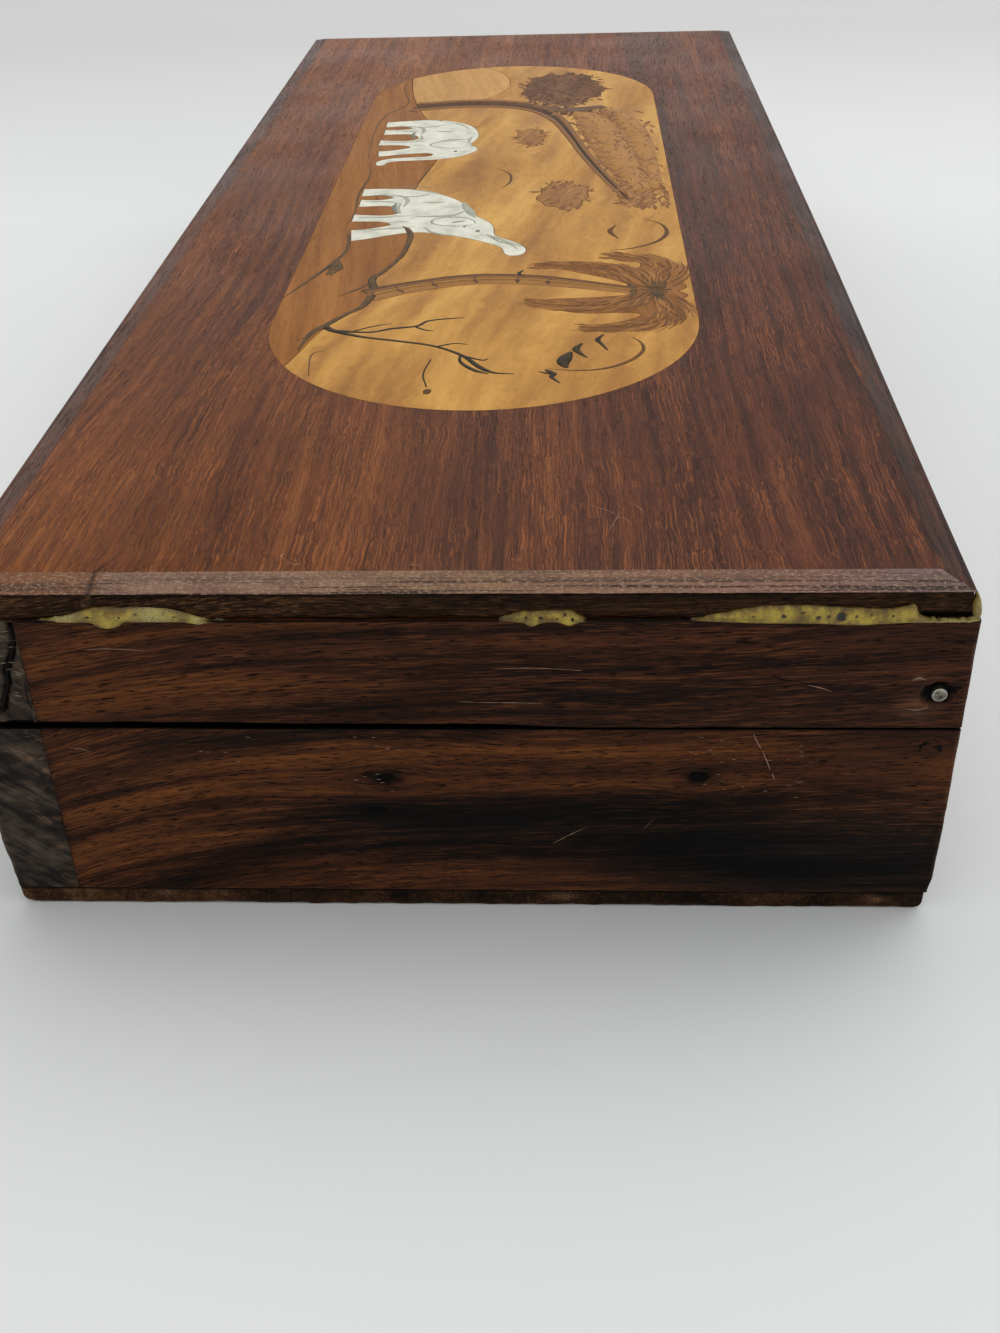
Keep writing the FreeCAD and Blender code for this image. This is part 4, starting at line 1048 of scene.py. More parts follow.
def elephant_drawing(name, place, scale, raised):
    """Ear, eye, tusk, leg folds, tail and soft shading on a walking elephant."""
    left = place[0] + panel_middle_x
    foot = place[1]

    def put(lines):
        return [[(left + scale * x, foot + scale * y, width) for x, y, width in line] for line in lines]

    fold = [
        tapered([(5.9, 6.2), (6.6, 8.6), (6.0, 11.2), (4.4, 13.0)], 0.5, 0.2),
        tapered([(17.2, 6.4), (18.0, 8.4), (17.6, 10.2)], 0.45, 0.2),
        tapered([(21.6, 6.2), (21.0, 8.4), (21.6, 10.2)], 0.45, 0.2),
    ]
    dark = [tapered([(5.7, 1.4), (5.5, 3.4), (6.4, 5.4), (7.4, 5.9)], 0.5, 0.3),
            tapered([(10.4, 6.8), (13.0, 6.5), (16.6, 7.2)], 1.0, 0.3)]
    if raised:
        head = [(22.8, 21.4), (20.8, 20.9), (19.3, 19.0), (19.0, 16.4), (20.2, 14.2), (22.2, 14.0), (23.6, 16.0),
                (24.0, 18.8), (23.4, 21.0)]
        fold += [tapered(head, 0.5, 0.4), tapered([(29.4, 17.8), (27.4, 14.6), (24.6, 12.8)], 0.7, 0.3),
                 tapered([(28.8, 22.6), (30.2, 24.4), (32.4, 25.8), (34.4, 28.0), (36.6, 29.0)], 0.5, 0.3)]
        dark += [tapered([(26.2, 22.2), (26.8, 22.0), (27.4, 22.2)], 0.9, 0.6),
                 tapered([(21.2, 19.6), (21.6, 18.2), (22.2, 17.4)], 0.8, 0.4),
                 tapered([(23.4, 19.9), (24.2, 19.6), (24.8, 19.8)], 0.6, 0.4)]
        shade = [
            (tapered([(10.4, 18.6), (13.6, 19.4), (17.0, 20.4), (19.4, 21.2)], 3.0, 0.3)),
            (tapered([(15.4, 19.4), (18.0, 17.2), (18.4, 14.2), (18.2, 10.8)], 2.0, 0.3)),
            (tapered([(10.2, 15.4), (10.4, 13.4), (10.2, 11.4)], 1.8, 0.3)),
            (tapered([(10.6, 7.6), (13.4, 7.2), (16.8, 8.0)], 1.6, 0.3)),
            (tapered([(28.6, 23.6), (30.6, 25.4), (33.2, 27.6), (35.0, 29.6)], 1.6, 0.4)),
            (tapered([(25.4, 1.2), (25.2, 4.6), (24.6, 8.4), (24.0, 11.2)], 1.4, 0.3)),
            (tapered([(2.6, 9.0), (4.0, 12.4), (6.4, 15.2)], 1.2, 0.3)),
        ]
    else:
        head = [(20.4, 18.9), (18.5, 17.2), (18.2, 14.4), (19.4, 11.8), (21.2, 10.9), (22.6, 12.2), (23.6, 14.4),
                (23.9, 16.8), (23.0, 18.6)]
        fold += [tapered(head, 0.5, 0.4), tapered([(30.6, 14.8), (31.0, 10.8), (31.6, 6.6)], 0.4, 0.3)]
        dark += [tapered([(25.6, 16.6), (26.2, 16.4), (26.8, 16.6)], 0.8, 0.5)]
        shade = [
            tapered([(13.4, 8.4), (16.0, 8.6), (18.0, 7.4)], 1.4, 0.3),
            tapered([(17.4, 18.6), (17.2, 15.4), (18.2, 12.0)], 1.8, 0.3),
            tapered([(2.2, 12.6), (4.6, 16.2), (9.0, 18.6)], 1.2, 0.3),
            tapered([(14.8, 19.4), (17.6, 18.8), (20.0, 19.0)], 1.4, 0.3),
            tapered([(10.2, 15.4), (10.4, 13.4), (10.2, 11.4)], 1.6, 0.3),
        ]
    shade += [tapered([(4.8, 3.0), (6.6, 7.6), (9.4, 8.6), (12.8, 8.2)], 1.5, 0.3),
              tapered([(9.2, 1.0), (9.4, 4.6), (10.6, 7.4)], 1.5, 0.4),
              tapered([(18.2, 0.8), (18.4, 4.6), (18.2, 8.0)], 1.5, 0.4)]
    tail = [tapered([(1.9, 12.2), (0.7, 11.0), (0.3, 8.4), (0.6, 6.2)], 0.5, 0.5)]
    soft = strokes("ink_" + name + "_shading", put(shade), soft_grey)
    soft.data.transform(Matrix.Translation((0, 0, -0.006 * MM)))
    strokes("ink_" + name + "_folds", put(fold), ink(name + "_fold", (138, 140, 126), (166, 165, 148)))
    strokes("ink_" + name + "_dark", put(dark + tail), grey_ink)


elephant_drawing("leading", (-0.7, -23.0), 0.92, True)
elephant_drawing("following", (-45.1, -23.6), 0.88, False)


def leaves():
    """Leaf dabs in and round the crown and the foliage, and bark lines along the tree."""
    clumps = {
        "crown": [(-68.5, 10.2, 13.6, 8.0, 230), (-57.5, 8.4, 7.5, 5.0, 110)],
        "foliage": [(-38.5, 17.7, 12.0, 4.6, 120), (-14.5, 21.4, 9.6, 3.8, 90), (6.0, 10.4, 7.4, 4.0, 70),
                    (5.6, 22.4, 7.6, 3.0, 60), (-31.0, 4.4, 6.0, 2.6, 50)],
    }
    tones = {"crown": ((78, 52, 38), (98, 68, 48), (116, 80, 52), (136, 96, 64)),
             "foliage": ((118, 78, 46), (136, 92, 56), (158, 112, 66), (176, 128, 78))}
    edge_y = panel_high[1] - 0.8
    washes = {
        "crown": ([[(-56, 1.0, 2.0), (-53, 5.4, 5.0), (-50, 9.4, 7.0), (-50, 13.0, 7.0), (-53, 18.5, 3.0)]],
                  ((92, 64, 46), (114, 80, 56))),
        "foliage": ([[(-50, 12.4, 3.0), (-42, 16.0, 8.0), (-26, 18.4, 9.5), (-10, 21.0, 8.0), (5, 23.6, 4.0)],
                     [(-50, 20.6, 3.0), (-36, 23.4, 6.0), (-16, 25.0, 4.6), (4, 25.8, 3.0)]],
                    ((156, 108, 60), (176, 128, 72))),
    }
    for name, (lines, wash_tones) in washes.items():
        moved = [[(x + panel_middle_x, y, 1.4 * width) for x, y, width in line] for line in lines]
        wash = strokes("ink_" + name + "_wash", moved, ink(name + "_wash", *wash_tones), slot="brown_wood")
        wash.data.transform(Matrix.Translation((0, 0, -0.005 * MM)))
    branch = np.array([(-53.1, 4.2), (-44.5, 8.8), (-32.5, 11.6), (-18.5, 14.2), (-4.5, 17.4), (14, 22.6)])
    for name, ovals in clumps.items():
        dabs = [], []
        for clump_x, clump_y, wide, high, count in ovals:
            for number in range(count):
                turn = RNG.uniform(0, 2 * math.pi)
                away = RNG.uniform(0, 1) ** 0.4 * 1.08
                x = clump_x + panel_middle_x + wide * away * math.cos(turn)
                y = clump_y + high * away * math.sin(turn)
                lean = turn + RNG.uniform(-0.9, 0.9)
                size = RNG.uniform(1.2, 2.6)
                end_y = min(y + size * 0.7 * math.sin(lean), edge_y)
                y = min(y, edge_y)
                dab = [(x, y, 0.1), (x + size / 2 * math.cos(lean), (y + end_y) / 2, size * 0.4),
                       (x + size * math.cos(lean), end_y, 0.08)]
                dabs[number % 2].append(dab)
        for number in range(330 if name == "foliage" else 0):
            x = RNG.uniform(-50, 12)
            low_y = np.interp(x, *branch.T) + 1.2
            y = min(low_y + (edge_y - low_y) * RNG.uniform(0, 1) ** 1.3, edge_y - 0.6)
            lean = RNG.uniform(-0.7, 0.9)
            size = RNG.uniform(1.4, 3.0)
            rise = min(size * math.sin(lean), edge_y - y)
            x += panel_middle_x
            dabs[number % 3 == 0].append([(x, y, 0.1), (x + size / 2, y + rise / 2, size * RNG.uniform(0.2, 0.36)),
                                          (x + size, y + rise, 0.08)])
        low_dark, high_dark, low_light, high_light = tones[name]
        strokes("ink_" + name + "_dark", dabs[0], ink(name + "_dark", low_dark, high_dark), per_span=3)
        strokes("ink_" + name + "_light", dabs[1], ink(name + "_light", low_light, high_light),
                slot="brown_wood", per_span=3)
    spine = [(-55.1, -19.5), (-57.1, -11.0), (-56.7, -3.0), (-53.1, 4.2), (-44.5, 8.8), (-32.5, 11.6),
             (-18.5, 14.2), (-4.5, 17.4), (7.5, 20.6)]
    bark = []
    for offset, width in ((-1.3, 0.3), (-0.4, 0.4), (0.6, 0.3), (1.3, 0.25)):
        fade = np.linspace(1, 0.12, len(spine))
        bark.append([(x + panel_middle_x + offset * share, y - 0.25 * offset * share, width * share + 0.06)
                     for (x, y), share in zip(spine, fade)])
    strokes("ink_bark", bark, black_ink)
    shade = []
    for offset, width in ((-2.9, 3.4), (2.7, 3.4)):
        shade.append([(x + panel_middle_x + offset * share, y - 0.3 * offset * share, width * share)
                      for (x, y), share in zip(spine, np.linspace(1, 0.3, len(spine)))])
    soft = strokes("ink_tree_shade", shade, ink("tree_shade", (122, 84, 52), (142, 98, 58)))
    soft.data.transform(Matrix.Translation((0, 0, -0.004 * MM)))


leaves()


# Dried glue along the seam under the slab

def glue():
    """Old animal glue: yellow, half clear, with brown air holes."""
    shader = Shader("dried_glue")
    patch = shader.noise(shader.place, (0.9, 0.9, 0.9), 4.0, 0.6).outputs[0]
    speck = shader.noise(shader.place, (5.0, 5.0, 5.0), 2.0, 0.6).outputs[0]
    thick = shader.math("ADD", patch, shader.math("MULTIPLY", shader.value("tone"), 0.3))
    colour = shader.ramp(thick, [(0.35, srgb(72, 51, 8)), (0.55, srgb(113, 89, 17)), (0.78, srgb(166, 143, 46))])
    colour = shader.mix(shader.remap(speck, 0.62, 0.7, 0, 0.7), colour, srgb(70, 50, 18))
    colour = shader.mix(shader.value("dirt"), colour, srgb(26, 14, 5))
    crumbs = shader.math("MULTIPLY", shader.value("wear"), shader.remap(speck, 0.4, 0.55, 0.35, 1.0))
    colour = shader.mix(crumbs, colour, srgb(164, 152, 92))
    normal = shader.bump(speck, 0.5, 0.06)
    return shader.finish(colour, shader.remap(patch, 0.3, 0.7, 0.28, 0.45), normal,
                         Subsurface_Weight=0.12, Subsurface_Scale=0.0006)


glue_material = glue()


def glue_bead(name, node, stations, holes, pale=()):
    """A bead of glue: stations are (y, lowest z, highest z, bulge), holes are (y, z, radius)."""
    rows = smooth_line(stations, 14)
    across = np.linspace(0, 1, 17)
    points = []
    dirt = []
    wear = []
    tone = []
    for number, (y, z_low, z_high, bulge) in enumerate(rows):
        z_low, z_high = min(z_low, z_high - 0.01), max(z_high, z_low + 0.01)
        ragged = 0.16 if z_high - z_low < 0.5 else 0.05
        z_high += ragged * float(noise(np.array([0.0, y, 0.0]), 0.45, 62))
        for share in across:
            z = z_low + (z_high - z_low) * share
            base = end_x - 0.3 * smoothstep(seam_z - 0.05, seam_z + 0.15, z)
            dome = max(math.sin(math.pi * share), 0) ** 0.55
            x = base - 0.06 + bulge * dome
            spot = np.array([x, y, z])
            x += 0.03 * dome * float(noise(spot, 0.9, 61))
            hole = 0
            for hole_y, hole_z, size in holes:
                hole = max(hole, float(smoothstep(size, size * 0.5, math.hypot(y - hole_y, z - hole_z))))
            x -= 0.22 * hole * dome
            x = min(x, end_x + 0.25 - 0.005)
            points.append((x, y, z))
            tail = float(smoothstep(0.22, 0.05, bulge)) * (0.5 + 0.5 * float(noise(spot, 0.35, 63)))
            dirt.append(max(float(smoothstep(0.15, 0.5, hole)), 0.75 * tail))
            tone.append(dome * min(z_high - z_low, 1.5) / 1.5 - 0.35)
            wear.append(min(1, sum(math.exp(-((y - pale_y) / size) ** 2) for pale_y, size in pale)))
    columns = len(across)
    count = len(rows)
    front = len(points)
    back = []
    for number, (y, z_low, z_high, bulge) in enumerate(rows):
        for share in across:
            z = z_low + (z_high - z_low) * share
            base = end_x - 0.3 * float(smoothstep(seam_z - 0.05, seam_z + 0.15, z))
            back.append((base - 0.12, y, z))
    points += back
    dirt += [0] * len(back)
    wear += [0] * len(back)
    tone += [0] * len(back)
    faces = []
    for row in range(count - 1):
        for column in range(columns - 1):
            here = row * columns + column
            faces.append((here, here + columns, here + columns + 1, here + 1))
            faces.append((front + here, front + here + 1, front + here + columns + 1, front + here + columns))
        low, high = row * columns, row * columns + columns - 1
        faces.append((low, front + low, front + low + columns, low + columns))
        faces.append((high, high + columns, front + high + columns, front + high))
    for column in range(columns - 1):
        last = (count - 1) * columns + column
        faces.append((column, column + 1, front + column + 1, front + column))
        faces.append((last, front + last, front + last + 1, last + 1))
    return piece(name, points, faces, glue_material, "lid", [node],
                 {"dirt": dirt, "wear": wear, "tone": tone})


s = seam_z
glue_bead("glue_front", "glue_bead_front", [
    (-40.6, s, s + 0.04, 0.02), (-39.6, s - 0.02, s + 0.18, 0.12), (-38.4, s - 0.02, s + 0.38, 0.22),
    (-37.0, s - 0.05, s + 0.62, 0.3), (-35.6, s - 0.06, s + 1.1, 0.42), (-34.7, s - 0.16, s + 1.4, 0.46),
    (-34.2, s - 0.55, s + 1.5, 0.5), (-33.5, s - 0.78, s + 1.55, 0.54), (-32.8, s - 0.78, s + 1.55, 0.54),
    (-32.1, s - 0.55, s + 1.5, 0.5), (-31.6, s - 0.14, s + 1.45, 0.46), (-30.8, s - 0.05, s + 1.5, 0.44),
    (-28.4, s - 0.05, s + 1.45, 0.42), (-26.4, s - 0.06, s + 1.15, 0.36), (-25.2, s - 0.14, s + 0.75, 0.3),
    (-24.4, s - 0.3, s + 0.4, 0.24), (-23.7, s - 0.22, s + 0.24, 0.16), (-22.6, s - 0.04, s + 0.14, 0.1),
    (-21.4, s, s + 0.05, 0.04),
], [(-30.3, s + 0.8, 0.2), (-28.6, s + 0.5, 0.16), (-27.6, s + 0.9, 0.15), (-31.9, s + 0.5, 0.14),
    (-35.0, s + 0.5, 0.2), (-29.4, s + 1.1, 0.12), (-26.6, s + 0.5, 0.14)], [(-24.4, 0.6), (-28.6, 1.8), (-37.4, 1.4)])
glue_bead("glue_middle", "glue_bead_middle", [
    (4.6, s, s + 0.05, 0.02), (5.6, s - 0.05, s + 0.6, 0.25), (6.8, s - 0.2, s + 0.95, 0.42),
    (7.7, s - 0.62, s + 0.95, 0.5), (8.5, s - 0.3, s + 1.0, 0.46), (9.4, s - 0.1, s + 1.1, 0.45),
    (10.4, s - 0.2, s + 1.1, 0.48), (11.3, s - 0.55, s + 1.05, 0.5), (12.1, s - 0.25, s + 0.7, 0.4),
    (13.0, s, s + 0.06, 0.05),
], [(8.6, s + 0.35, 0.2), (10.9, s + 0.7, 0.17), (11.6, s + 0.2, 0.2), (10.2, s + 0.3, 0.12),
    (7.2, s + 0.4, 0.14)])
glue_bead("glue_back_corner", "glue_bead_back_corner", [
    (22.8, s, s + 0.05, 0.02), (24.6, s - 0.1, s + 0.5, 0.25), (26.6, s - 0.2, s + 0.95, 0.4),
    (29.0, s - 0.3, s + 1.4, 0.5), (32.0, s - 0.35, s + 1.55, 0.54), (35.0, s - 0.4, s + 1.45, 0.54),
    (38.0, s - 0.55, s + 1.25, 0.54), (41.0, s - 0.4, s + 1.1, 0.5), (42.6, s - 0.3, s + 1.35, 0.5),
    (43.6, s - 0.3, s + 1.6, 0.5), (44.2, s - 0.25, s + 0.5, 0.42), (45.2, s - 0.2, s + 0.12, 0.33),
    (47.4, s - 0.16, s + 0.1, 0.31), (49.0, s - 0.14, s + 0.14, 0.3), (49.7, s - 0.1, s + 0.3, 0.1),
], [(31.4, s + 0.5, 0.3), (33.2, s + 0.9, 0.18), (34.7, s + 0.35, 0.26), (35.6, s + 0.5, 0.2),
    (36.8, s + 0.45, 0.6), (38.2, s + 0.5, 0.2), (39.6, s + 0.6, 0.16), (41.6, s + 0.5, 0.14),
    (28.6, s + 0.5, 0.14)], [(47.4, 2.6)])


def corner_glue():
    """A little glue that ran down the back corner of the slab's edge."""
    rows = [(36.95, 49.55, 0.36), (37.4, 49.5, 0.46), (38.1, 49.42, 0.42), (38.8, 49.34, 0.3), (39.3, 49.3, 0.1)]
    turns = np.linspace(0, 2 * math.pi, 12, endpoint=False)
    points = [(end_x - 0.75 + 0.7 * math.cos(turn), y + size * math.sin(turn), z)
              for z, y, size in smooth_line(rows, 4) for turn in turns]
    points = [(min(x, end_x), y, z) for x, y, z in points]
    count = len(points) // 12
    faces = [tuple(range(12))[::-1], tuple(range(12 * count - 12, 12 * count))]
    for row in range(count - 1):
        for number in range(12):
            here, after = 12 * row + number, 12 * row + (number + 1) % 12
            faces.append((here, after, after + 12, here + 12))
    piece("glue_back_corner_run", points, faces, glue_material, "lid",
          values={"dirt": np.zeros(len(points)), "wear": np.full(len(points), 0.5), "tone": np.zeros(len(points))})


corner_glue()


# Metal and filler

def metal(name, dark, light, scratch, rough=(0.3, 0.5), patina=None):
    """Worn metal with fine file lines along one axis."""
    shader = Shader(name)
    lines = shader.noise(shader.place, scratch, 2.0, 0.6).outputs[0]
    cloud = shader.noise(shader.place, (0.6, 0.6, 0.6), 3.0, 0.6).outputs[0]
    colour = shader.ramp(cloud, [(0.35, srgb(*dark)), (0.65, srgb(*light))])
    if patina:
        colour = shader.mix(shader.remap(cloud, 0.5, 0.36, 0, 0.7), colour, srgb(*patina))
    normal = shader.bump(lines, 0.5, 0.05)
    return shader.finish(colour, shader.remap(lines, 0.3, 0.7, *rough), normal, Metallic=1.0)


steel = metal("brad_steel", (112, 108, 98), (184, 180, 166), (2.0, 7.0, 5.0), patina=(60, 50, 40))
brass = metal("hinge_brass", (150, 112, 56), (206, 168, 98), (0.4, 6.0, 6.0), patina=(96, 70, 40))


def filler_finish():
    """Dark wax in an old brad hole: wood brown with a ragged black blot."""
    shader = Shader("wood_filler")
    blot = shader.noise(shader.place, (1.3, 1.3, 1.3), 3.0, 0.7).outputs[0]
    fine_lines = shader.noise(shader.place, (1.0, 0.6, 6.0), 2.0).outputs[0]
    colour = shader.mix(fine_lines, srgb(36, 21, 14), srgb(66, 38, 24))
    colour = shader.mix(shader.remap(blot, 0.41, 0.46), srgb(9, 7, 6), colour)
    return shader.finish(colour, shader.remap(blot, 0.3, 0.7, 0.6, 0.45), shader.bump(blot, 0.6, 0.08),
                         Specular_IOR_Level=0.05)


filler = filler_finish()


def bevelled(node, material, width, segments=2):
    """A carried-over CAD piece with softened edges."""
    target = repaint(node, material, drop=0)
    soft = target.modifiers.new("soft", "BEVEL")
    soft.width = width * MM
    soft.segments = segments
    soft.limit_method = "ANGLE"
    soft.angle_limit = math.radians(40)
    return target


bevelled("lid_corner_brads", steel, 0.12)
bevelled("body_corner_brads", steel, 0.05)
bevelled("body_brad_plugs", filler, 0.1)
bevelled("base_panel_pins", steel, 0.08)
for hinge_side in ("left", "right"):
    bevelled(hinge_side + "_hinge_body_leaf", brass, 0.1)
    bevelled(hinge_side + "_hinge_lid_leaf", brass, 0.1)
    bevelled(hinge_side + "_hinge_pin", brass, 0.15)


def prism(outline, low, high, chamfer):
    """A closed piece over a convex outline, its upper rim chamfered."""
    flat = np.asarray(outline, float)
    middle = flat.mean(axis=0)
    count = len(flat)
    shrunk = middle + (flat - middle) * (1 - chamfer / np.abs(flat - middle).max())
    rings = [(flat, low), (flat, high - chamfer), (shrunk, high)]
    points = np.vstack([np.column_stack([ring, np.full(count, height)]) for ring, height in rings])
    faces = [tuple(range(count))[::-1], tuple(range(2 * count, 3 * count))]
    for row in range(2):
        for number in range(count):
            after = (number + 1) % count
            faces.append((row * count + number, row * count + after, (row + 1) * count + after,
                          (row + 1) * count + number))
    return points, faces


def slotted_screw(centre, radius, shank_radius, length, way, turn):
    """A countersunk screw: two half heads with the slot between them, a dish and a shank."""
    slot_half = 0.24
    depth = 0.4
    parts = []
    opening = math.asin(slot_half / (radius - 0.06))
    for side in (0, math.pi):
        angles = np.linspace(opening, math.pi - opening, 20) + side
        half = (radius - 0.06) * np.stack([np.cos(angles), np.sin(angles)], -1)
        parts.append(prism(half, -depth, -0.03, 0.1))
    ring = np.linspace(0, 2 * math.pi, 28, endpoint=False)
    disc = np.stack([np.cos(ring), np.sin(ring)], -1)
    parts.append(prism(disc * (radius - 0.45), -depth - 0.35, -depth + 0.001, 0.01))
    parts.append(prism(disc * shank_radius, -length, -depth - 0.3, 0.01))
    points = []
    faces = []
    spin = np.array([[math.cos(turn), -math.sin(turn)], [math.sin(turn), math.cos(turn)]])
    for part_points, part_faces in parts:
        start = len(points)
        turned = part_points.copy()
        turned[:, :2] = turned[:, :2] @ spin.T
        turned[:, 2] *= way
        points += (turned + np.array(centre)).tolist()
        for face in part_faces:
            shifted = [start + corner for corner in face]
            faces.append(shifted if way > 0 else shifted[::-1])
    return points, faces


def hinge_screws():
    """Both screws of each leaf, in the place of the plain CAD screws."""
    turns = iter((0.5, 1.9, 2.6, 0.9, 1.3, 0.2, 2.2, 1.6))
    for hinge in ("left", "right"):
        for holder, body, face_z, way in (("body", "box_body", board_high[2], 1), ("lid", "lid", rail_low[2], -1)):
            node = hinge + "_hinge_" + holder + "_screws"
            low, high = mm_box(node)
            head = 1.8
            points = []
            faces = []
            for x in (low[0] + head, high[0] - head):
                centre = (x, (low[1] + high[1]) / 2, face_z)
                more_points, more_faces = slotted_screw(centre, head, 1.0, 6.5, way, next(turns))
                start = len(points)
                points += more_points
                faces += [[start + corner for corner in face] for face in more_faces]
            piece(node + "_slotted", points, faces, brass, body, [node], sharp=35)


hinge_screws()


# Small marks on the right end: scratches, splits, dust and a painted shadow along the slab's seam

scratch_pale = ink("pale_scratch", (118, 92, 74), (150, 124, 104))
split_and_seam_shadow_ink = ink("dark_split", (8, 6, 5), (18, 12, 9))
lid_scratches = [
    [(44.3, 29.9, 0.05), (45.0, 30.2, 0.3), (45.7, 29.95, 0.05)], [(44.0, 26.6, 0.03), (45.2, 26.4, 0.1), (46.4, 26.7, 0.03)],
    [(0.2, 27.4, 0.05), (3.0, 27.3, 0.1), (8.6, 27.2, 0.06)], [(-36, 33.6, 0.05), (-33.4, 33.7, 0.12), (-30, 33.5, 0.05)],
    [(4.0, 31.3, 0.05), (8.0, 31.4, 0.1), (12.6, 31.1, 0.06)], [(34.4, 29.4, 0.05), (35.8, 29.0, 0.14), (36.8, 28.6, 0.05)],
]
body_scratches = [
    [(29.6, 23.4, 0.05), (30.1, 22.3, 0.12), (30.5, 21.6, 0.05)], [(30.6, 21.4, 0.05), (31.1, 20.2, 0.13), (31.6, 18.9, 0.05)],
    [(31.8, 18.5, 0.05), (32.0, 18.0, 0.1), (32.1, 17.7, 0.05)], [(-40, 21.6, 0.04), (-38.6, 21.4, 0.1), (-37.8, 21.0, 0.04)],
    [(9.6, 9.0, 0.04), (11.4, 10.2, 0.08), (13.0, 11.2, 0.04)], [(19.0, 11.0, 0.04), (19.8, 12.0, 0.08), (20.2, 12.6, 0.04)],
]
for number in range(46):
    spot_y, spot_z = RNG.choice([25.5, -24.5, 33.0, -8.0]) + RNG.normal(0, 1.8), RNG.choice([22.0, 20.6, 17.4])
    spot_z += RNG.normal(0, 0.9)
    body_scratches.append([(spot_y, spot_z, 0.04), (spot_y + RNG.uniform(0.1, 0.4), spot_z + RNG.uniform(-0.1, 0.1), 0.07),
                           (spot_y + 0.42, spot_z, 0.02)])
lid_splits_and_seam_shadow = [
    [(5.0, 29.2, 0.05), (8.0, 28.9, 0.16), (11.5, 28.9, 0.05)], [(9.0, 27.6, 0.05), (14.0, 27.5, 0.14), (19.0, 27.5, 0.05)],
    [(30.6, 30.8, 0.05), (31.8, 30.1, 0.25), (32.8, 29.9, 0.1)], [(33.0, 29.9, 0.05), (34.6, 29.5, 0.2), (36.4, 29.4, 0.05)],
    # From here on the strokes run along the seam under the slab: a painted shadow in the seam.
    [(12.6, 36.86, 0.1), (17.0, 36.84, 0.4), (22.6, 36.84, 0.15)], [(-23.4, 36.8, 0.3), (-12, 36.83, 0.2), (4.6, 36.8, 0.2)],
    [(-42.2, 36.84, 0.2), (-40.0, 36.86, 0.3), (-38.2, 36.84, 0.1)],
]
end_cracks = [[(-42.8, 36.4, 0.3), (-42.9, 34.4, 0.35), (-43.4, 33.0, 0.3), (-44.2, 31.4, 0.35), (-44.5, 29.6, 0.28),
               (-45.3, 27.6, 0.35), (-45.9, 26.2, 0.2)],
              [(-42.75, 29.8, 0.1), (-42.9, 27.8, 0.16), (-42.7, 26.2, 0.1)]]
end_chips = []
for number in range(40):
    spot_y, spot_z = RNG.uniform(-45.8, -42.8), RNG.uniform(27.2, 36)
    if number > 26:
        spot_y, spot_z = RNG.normal(-43.9, 0.9), min(RNG.normal(21.0, 0.9), board_high[2] - 0.6)
    if spot_y < -42.8:
        end_chips.append([(spot_y - 0.3, spot_z, 0.03), (spot_y, spot_z + RNG.uniform(-0.1, 0.1), RNG.uniform(0.06, 0.16)),
                          (min(spot_y + 0.35, -42.6), spot_z, 0.03)])
file_lines = []
for step in (-0.44, -0.24, -0.02, 0.2, 0.4):
    reach = 0.9 * math.sqrt(0.6 ** 2 - step ** 2)
    middle_y, middle_z = brad_y + 0.64 * step, lid_brad_z - 0.77 * step
    file_lines.append([(middle_y - 0.77 * reach, middle_z - 0.64 * reach, 0.02), (middle_y, middle_z, 0.12),
                       (middle_y + 0.77 * reach, middle_z + 0.64 * reach, 0.02)])
slate_chip = ink("slate_chip", (84, 76, 66), (122, 112, 96))
strokes("marks_end_grain", [line for line in end_chips if line[0][1] > 25], slate_chip,
        slot="board_rosewood", to_space=on_right_end)
strokes("marks_body_end_grain", [line for line in end_chips if line[0][1] < 25], slate_chip, "box_body",
        "board_rosewood", on_right_end)
strokes("marks_end_cracks", end_cracks, split_and_seam_shadow_ink, slot="board_rosewood", to_space=on_right_end)
strokes("marks_brad", file_lines, ink("file_mark", (26, 24, 22), (60, 56, 50)), slot="brad_steel", to_space=on_brad)
strokes("marks_lid_scratches", lid_scratches, scratch_pale, slot="board_rosewood", to_space=on_right_end)
top_scratches = [
    [(118.4, 15.1, 0.04), (116.0, 15.9, 0.12), (114.0, 16.5, 0.05)], [(115.1, 15.9, 0.04), (115.5, 17.0, 0.12), (117.0, 17.6, 0.05)],
    [(112.5, 13.4, 0.04), (113.6, 15.0, 0.08), (114.6, 16.2, 0.04)], [(112.0, 17.6, 0.04), (113.2, 18.5, 0.1), (115.0, 19.0, 0.04)],
    [(123.5, -16.4, 0.05), (122.6, -16.9, 0.2), (122.2, -16.4, 0.06)], [(123.9, -15.9, 0.05), (124.4, -15.2, 0.12), (124.2, -14.8, 0.05)],
    [(121.0, 2.0, 0.04), (121.3, 2.6, 0.12), (121.2, 3.0, 0.04)], [(124.4, -4.0, 0.04), (124.6, -3.4, 0.14), (124.4, -3.0, 0.04)],
]
strokes("marks_top_scratches", top_scratches, ink("top_scratch", (150, 116, 88), (186, 152, 120)),
        slot="lid_rosewood", to_space=on_slab)
strokes("marks_lid_splits", lid_splits_and_seam_shadow, split_and_seam_shadow_ink, slot="board_rosewood", to_space=on_right_end)
strokes("marks_body_scratches", body_scratches, scratch_pale, "box_body", "board_rosewood", on_right_end)


# Stage: floor, light and camera

def floor_material():
    """A smooth white table, with faint unevenness, and painted shade that greys it far behind the box."""
    shader = Shader("floor")
    cloud = shader.noise(shader.place, (0.004, 0.004, 0.004), 3.0).outputs[0]
    colour = shader.ramp(cloud, [(0.3, srgb(216, 218, 217)), (0.7, srgb(224, 225, 224))])
    along = shader.node("SeparateXYZ", {0: shader.place}).outputs[0]
    # Painted shade: greyer from 120 to 340 mm behind the box's middle.
    colour = shader.mix(shader.remap(along, -120, -340), colour, srgb(196, 196, 195))
    return shader.finish(colour, 0.6)


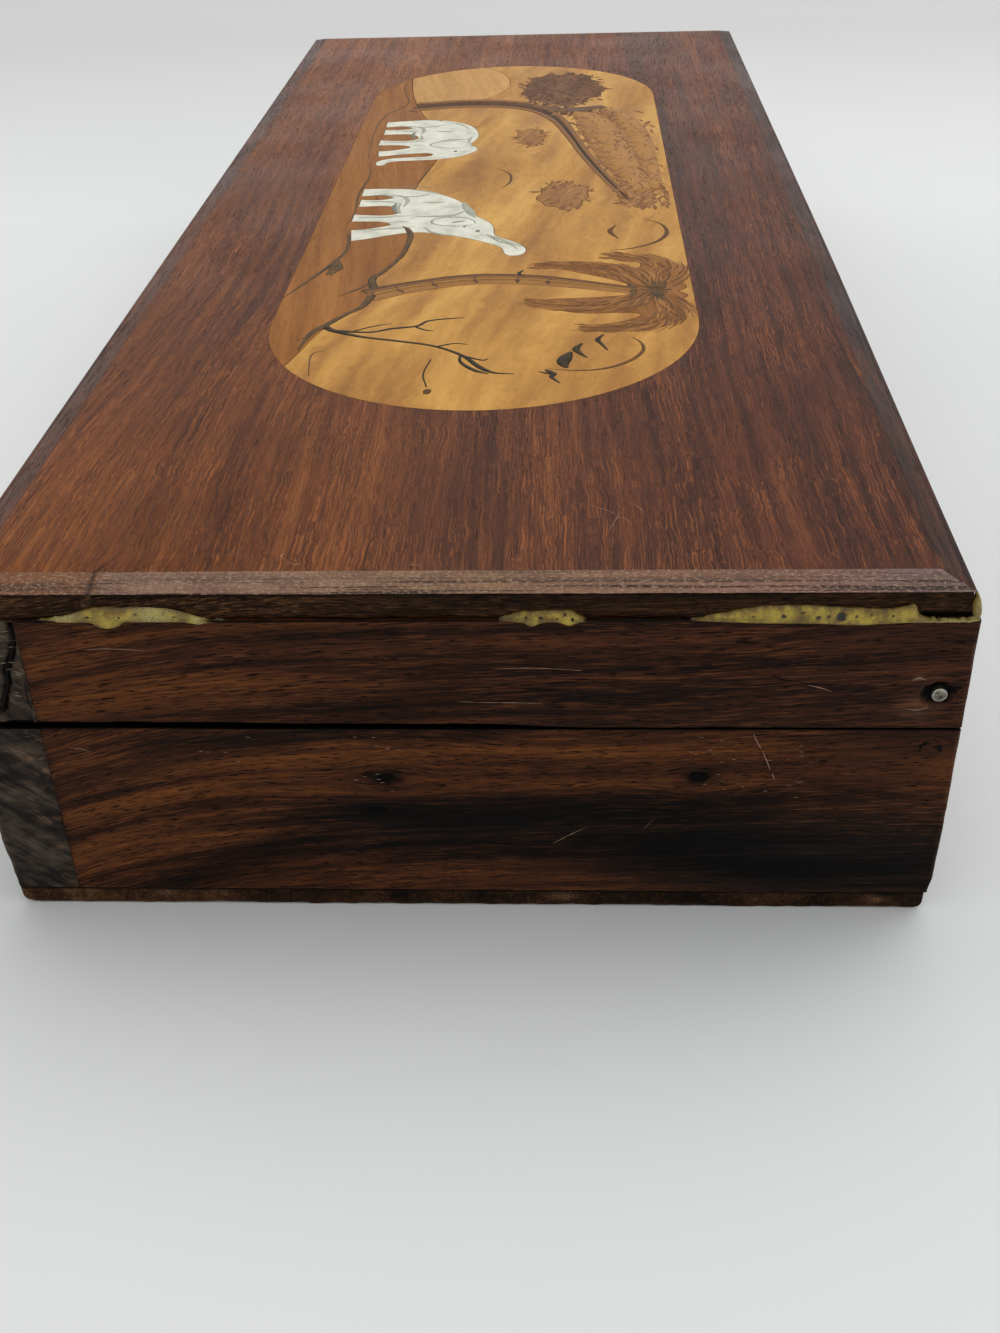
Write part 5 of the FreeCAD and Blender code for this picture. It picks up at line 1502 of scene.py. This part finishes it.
def floor():
    size = 6.0
    mesh = bpy.data.meshes.new("floor")
    corners = [(-size, -size, 0), (size, -size, 0), (size, size, 0), (-size, size, 0)]
    mesh.from_pydata(corners, [], [(0, 1, 2, 3)])
    mesh.materials.append(floor_material())
    made = bpy.data.objects.new("floor", mesh)
    bpy.context.scene.collection.objects.link(made)


def lights():
    world = bpy.data.worlds.new("studio")
    bpy.context.scene.world = world
    world.use_nodes = True
    tree = world.node_tree
    background = tree.nodes["Background"]
    background.inputs["Color"].default_value = (0.978, 0.99, 0.992, 1.0)
    towards = tree.nodes.new("ShaderNodeTexCoord")
    flag = tree.nodes.new("ShaderNodeVectorMath")
    flag.operation = "DOT_PRODUCT"
    flag.inputs[1].default_value = (-0.695, 0.0, 0.719)
    shade = tree.nodes.new("ShaderNodeMapRange")
    for number, level in enumerate((0.86, 0.95, 0.75, 0.02), 1):
        shade.inputs[number].default_value = level
    tree.links.new(towards.outputs["Generated"], flag.inputs[0])
    tree.links.new(flag.outputs["Value"], shade.inputs[0])
    tree.links.new(shade.outputs[0], background.inputs["Strength"])
    key = bpy.data.lights.new("key", "AREA")
    key.shape = "RECTANGLE"
    key.size = 1.8
    key.size_y = 1.4
    key.energy = 14
    lamp = bpy.data.objects.new("key", key)
    lamp.location = (-0.55, 0.3, 1.25)
    aim = Vector((0, 0, 0)) - lamp.location
    lamp.rotation_euler = aim.to_track_quat("-Z", "Y").to_euler()
    bpy.context.scene.collection.objects.link(lamp)


def camera():
    """The photograph's own view, from above the right end and along the box."""
    yaw, pitch, roll = math.radians(-3.270), math.radians(34.211), math.radians(-1.884)
    forward = Vector((-math.cos(yaw) * math.cos(pitch), math.sin(yaw) * math.cos(pitch), -math.sin(pitch)))
    right = forward.cross(Vector((0, 0, 1))).normalized()
    up = right.cross(forward)
    level_right = math.cos(roll) * right + math.sin(roll) * up
    level_up = -math.sin(roll) * right + math.cos(roll) * up
    data = bpy.data.cameras.new("camera")
    data.sensor_width = 36
    data.lens = 39.262
    data.clip_start = 0.01
    made = bpy.data.objects.new("camera", data)
    matrix = Matrix([level_right, level_up, -forward]).transposed().to_4x4()
    matrix.translation = Vector((0.24553, 0.01124, 0.11096))
    made.matrix_world = matrix
    bpy.context.scene.collection.objects.link(made)
    bpy.context.scene.camera = made


floor()
lights()
camera()
bpy.context.scene.view_settings.view_transform = "Standard"
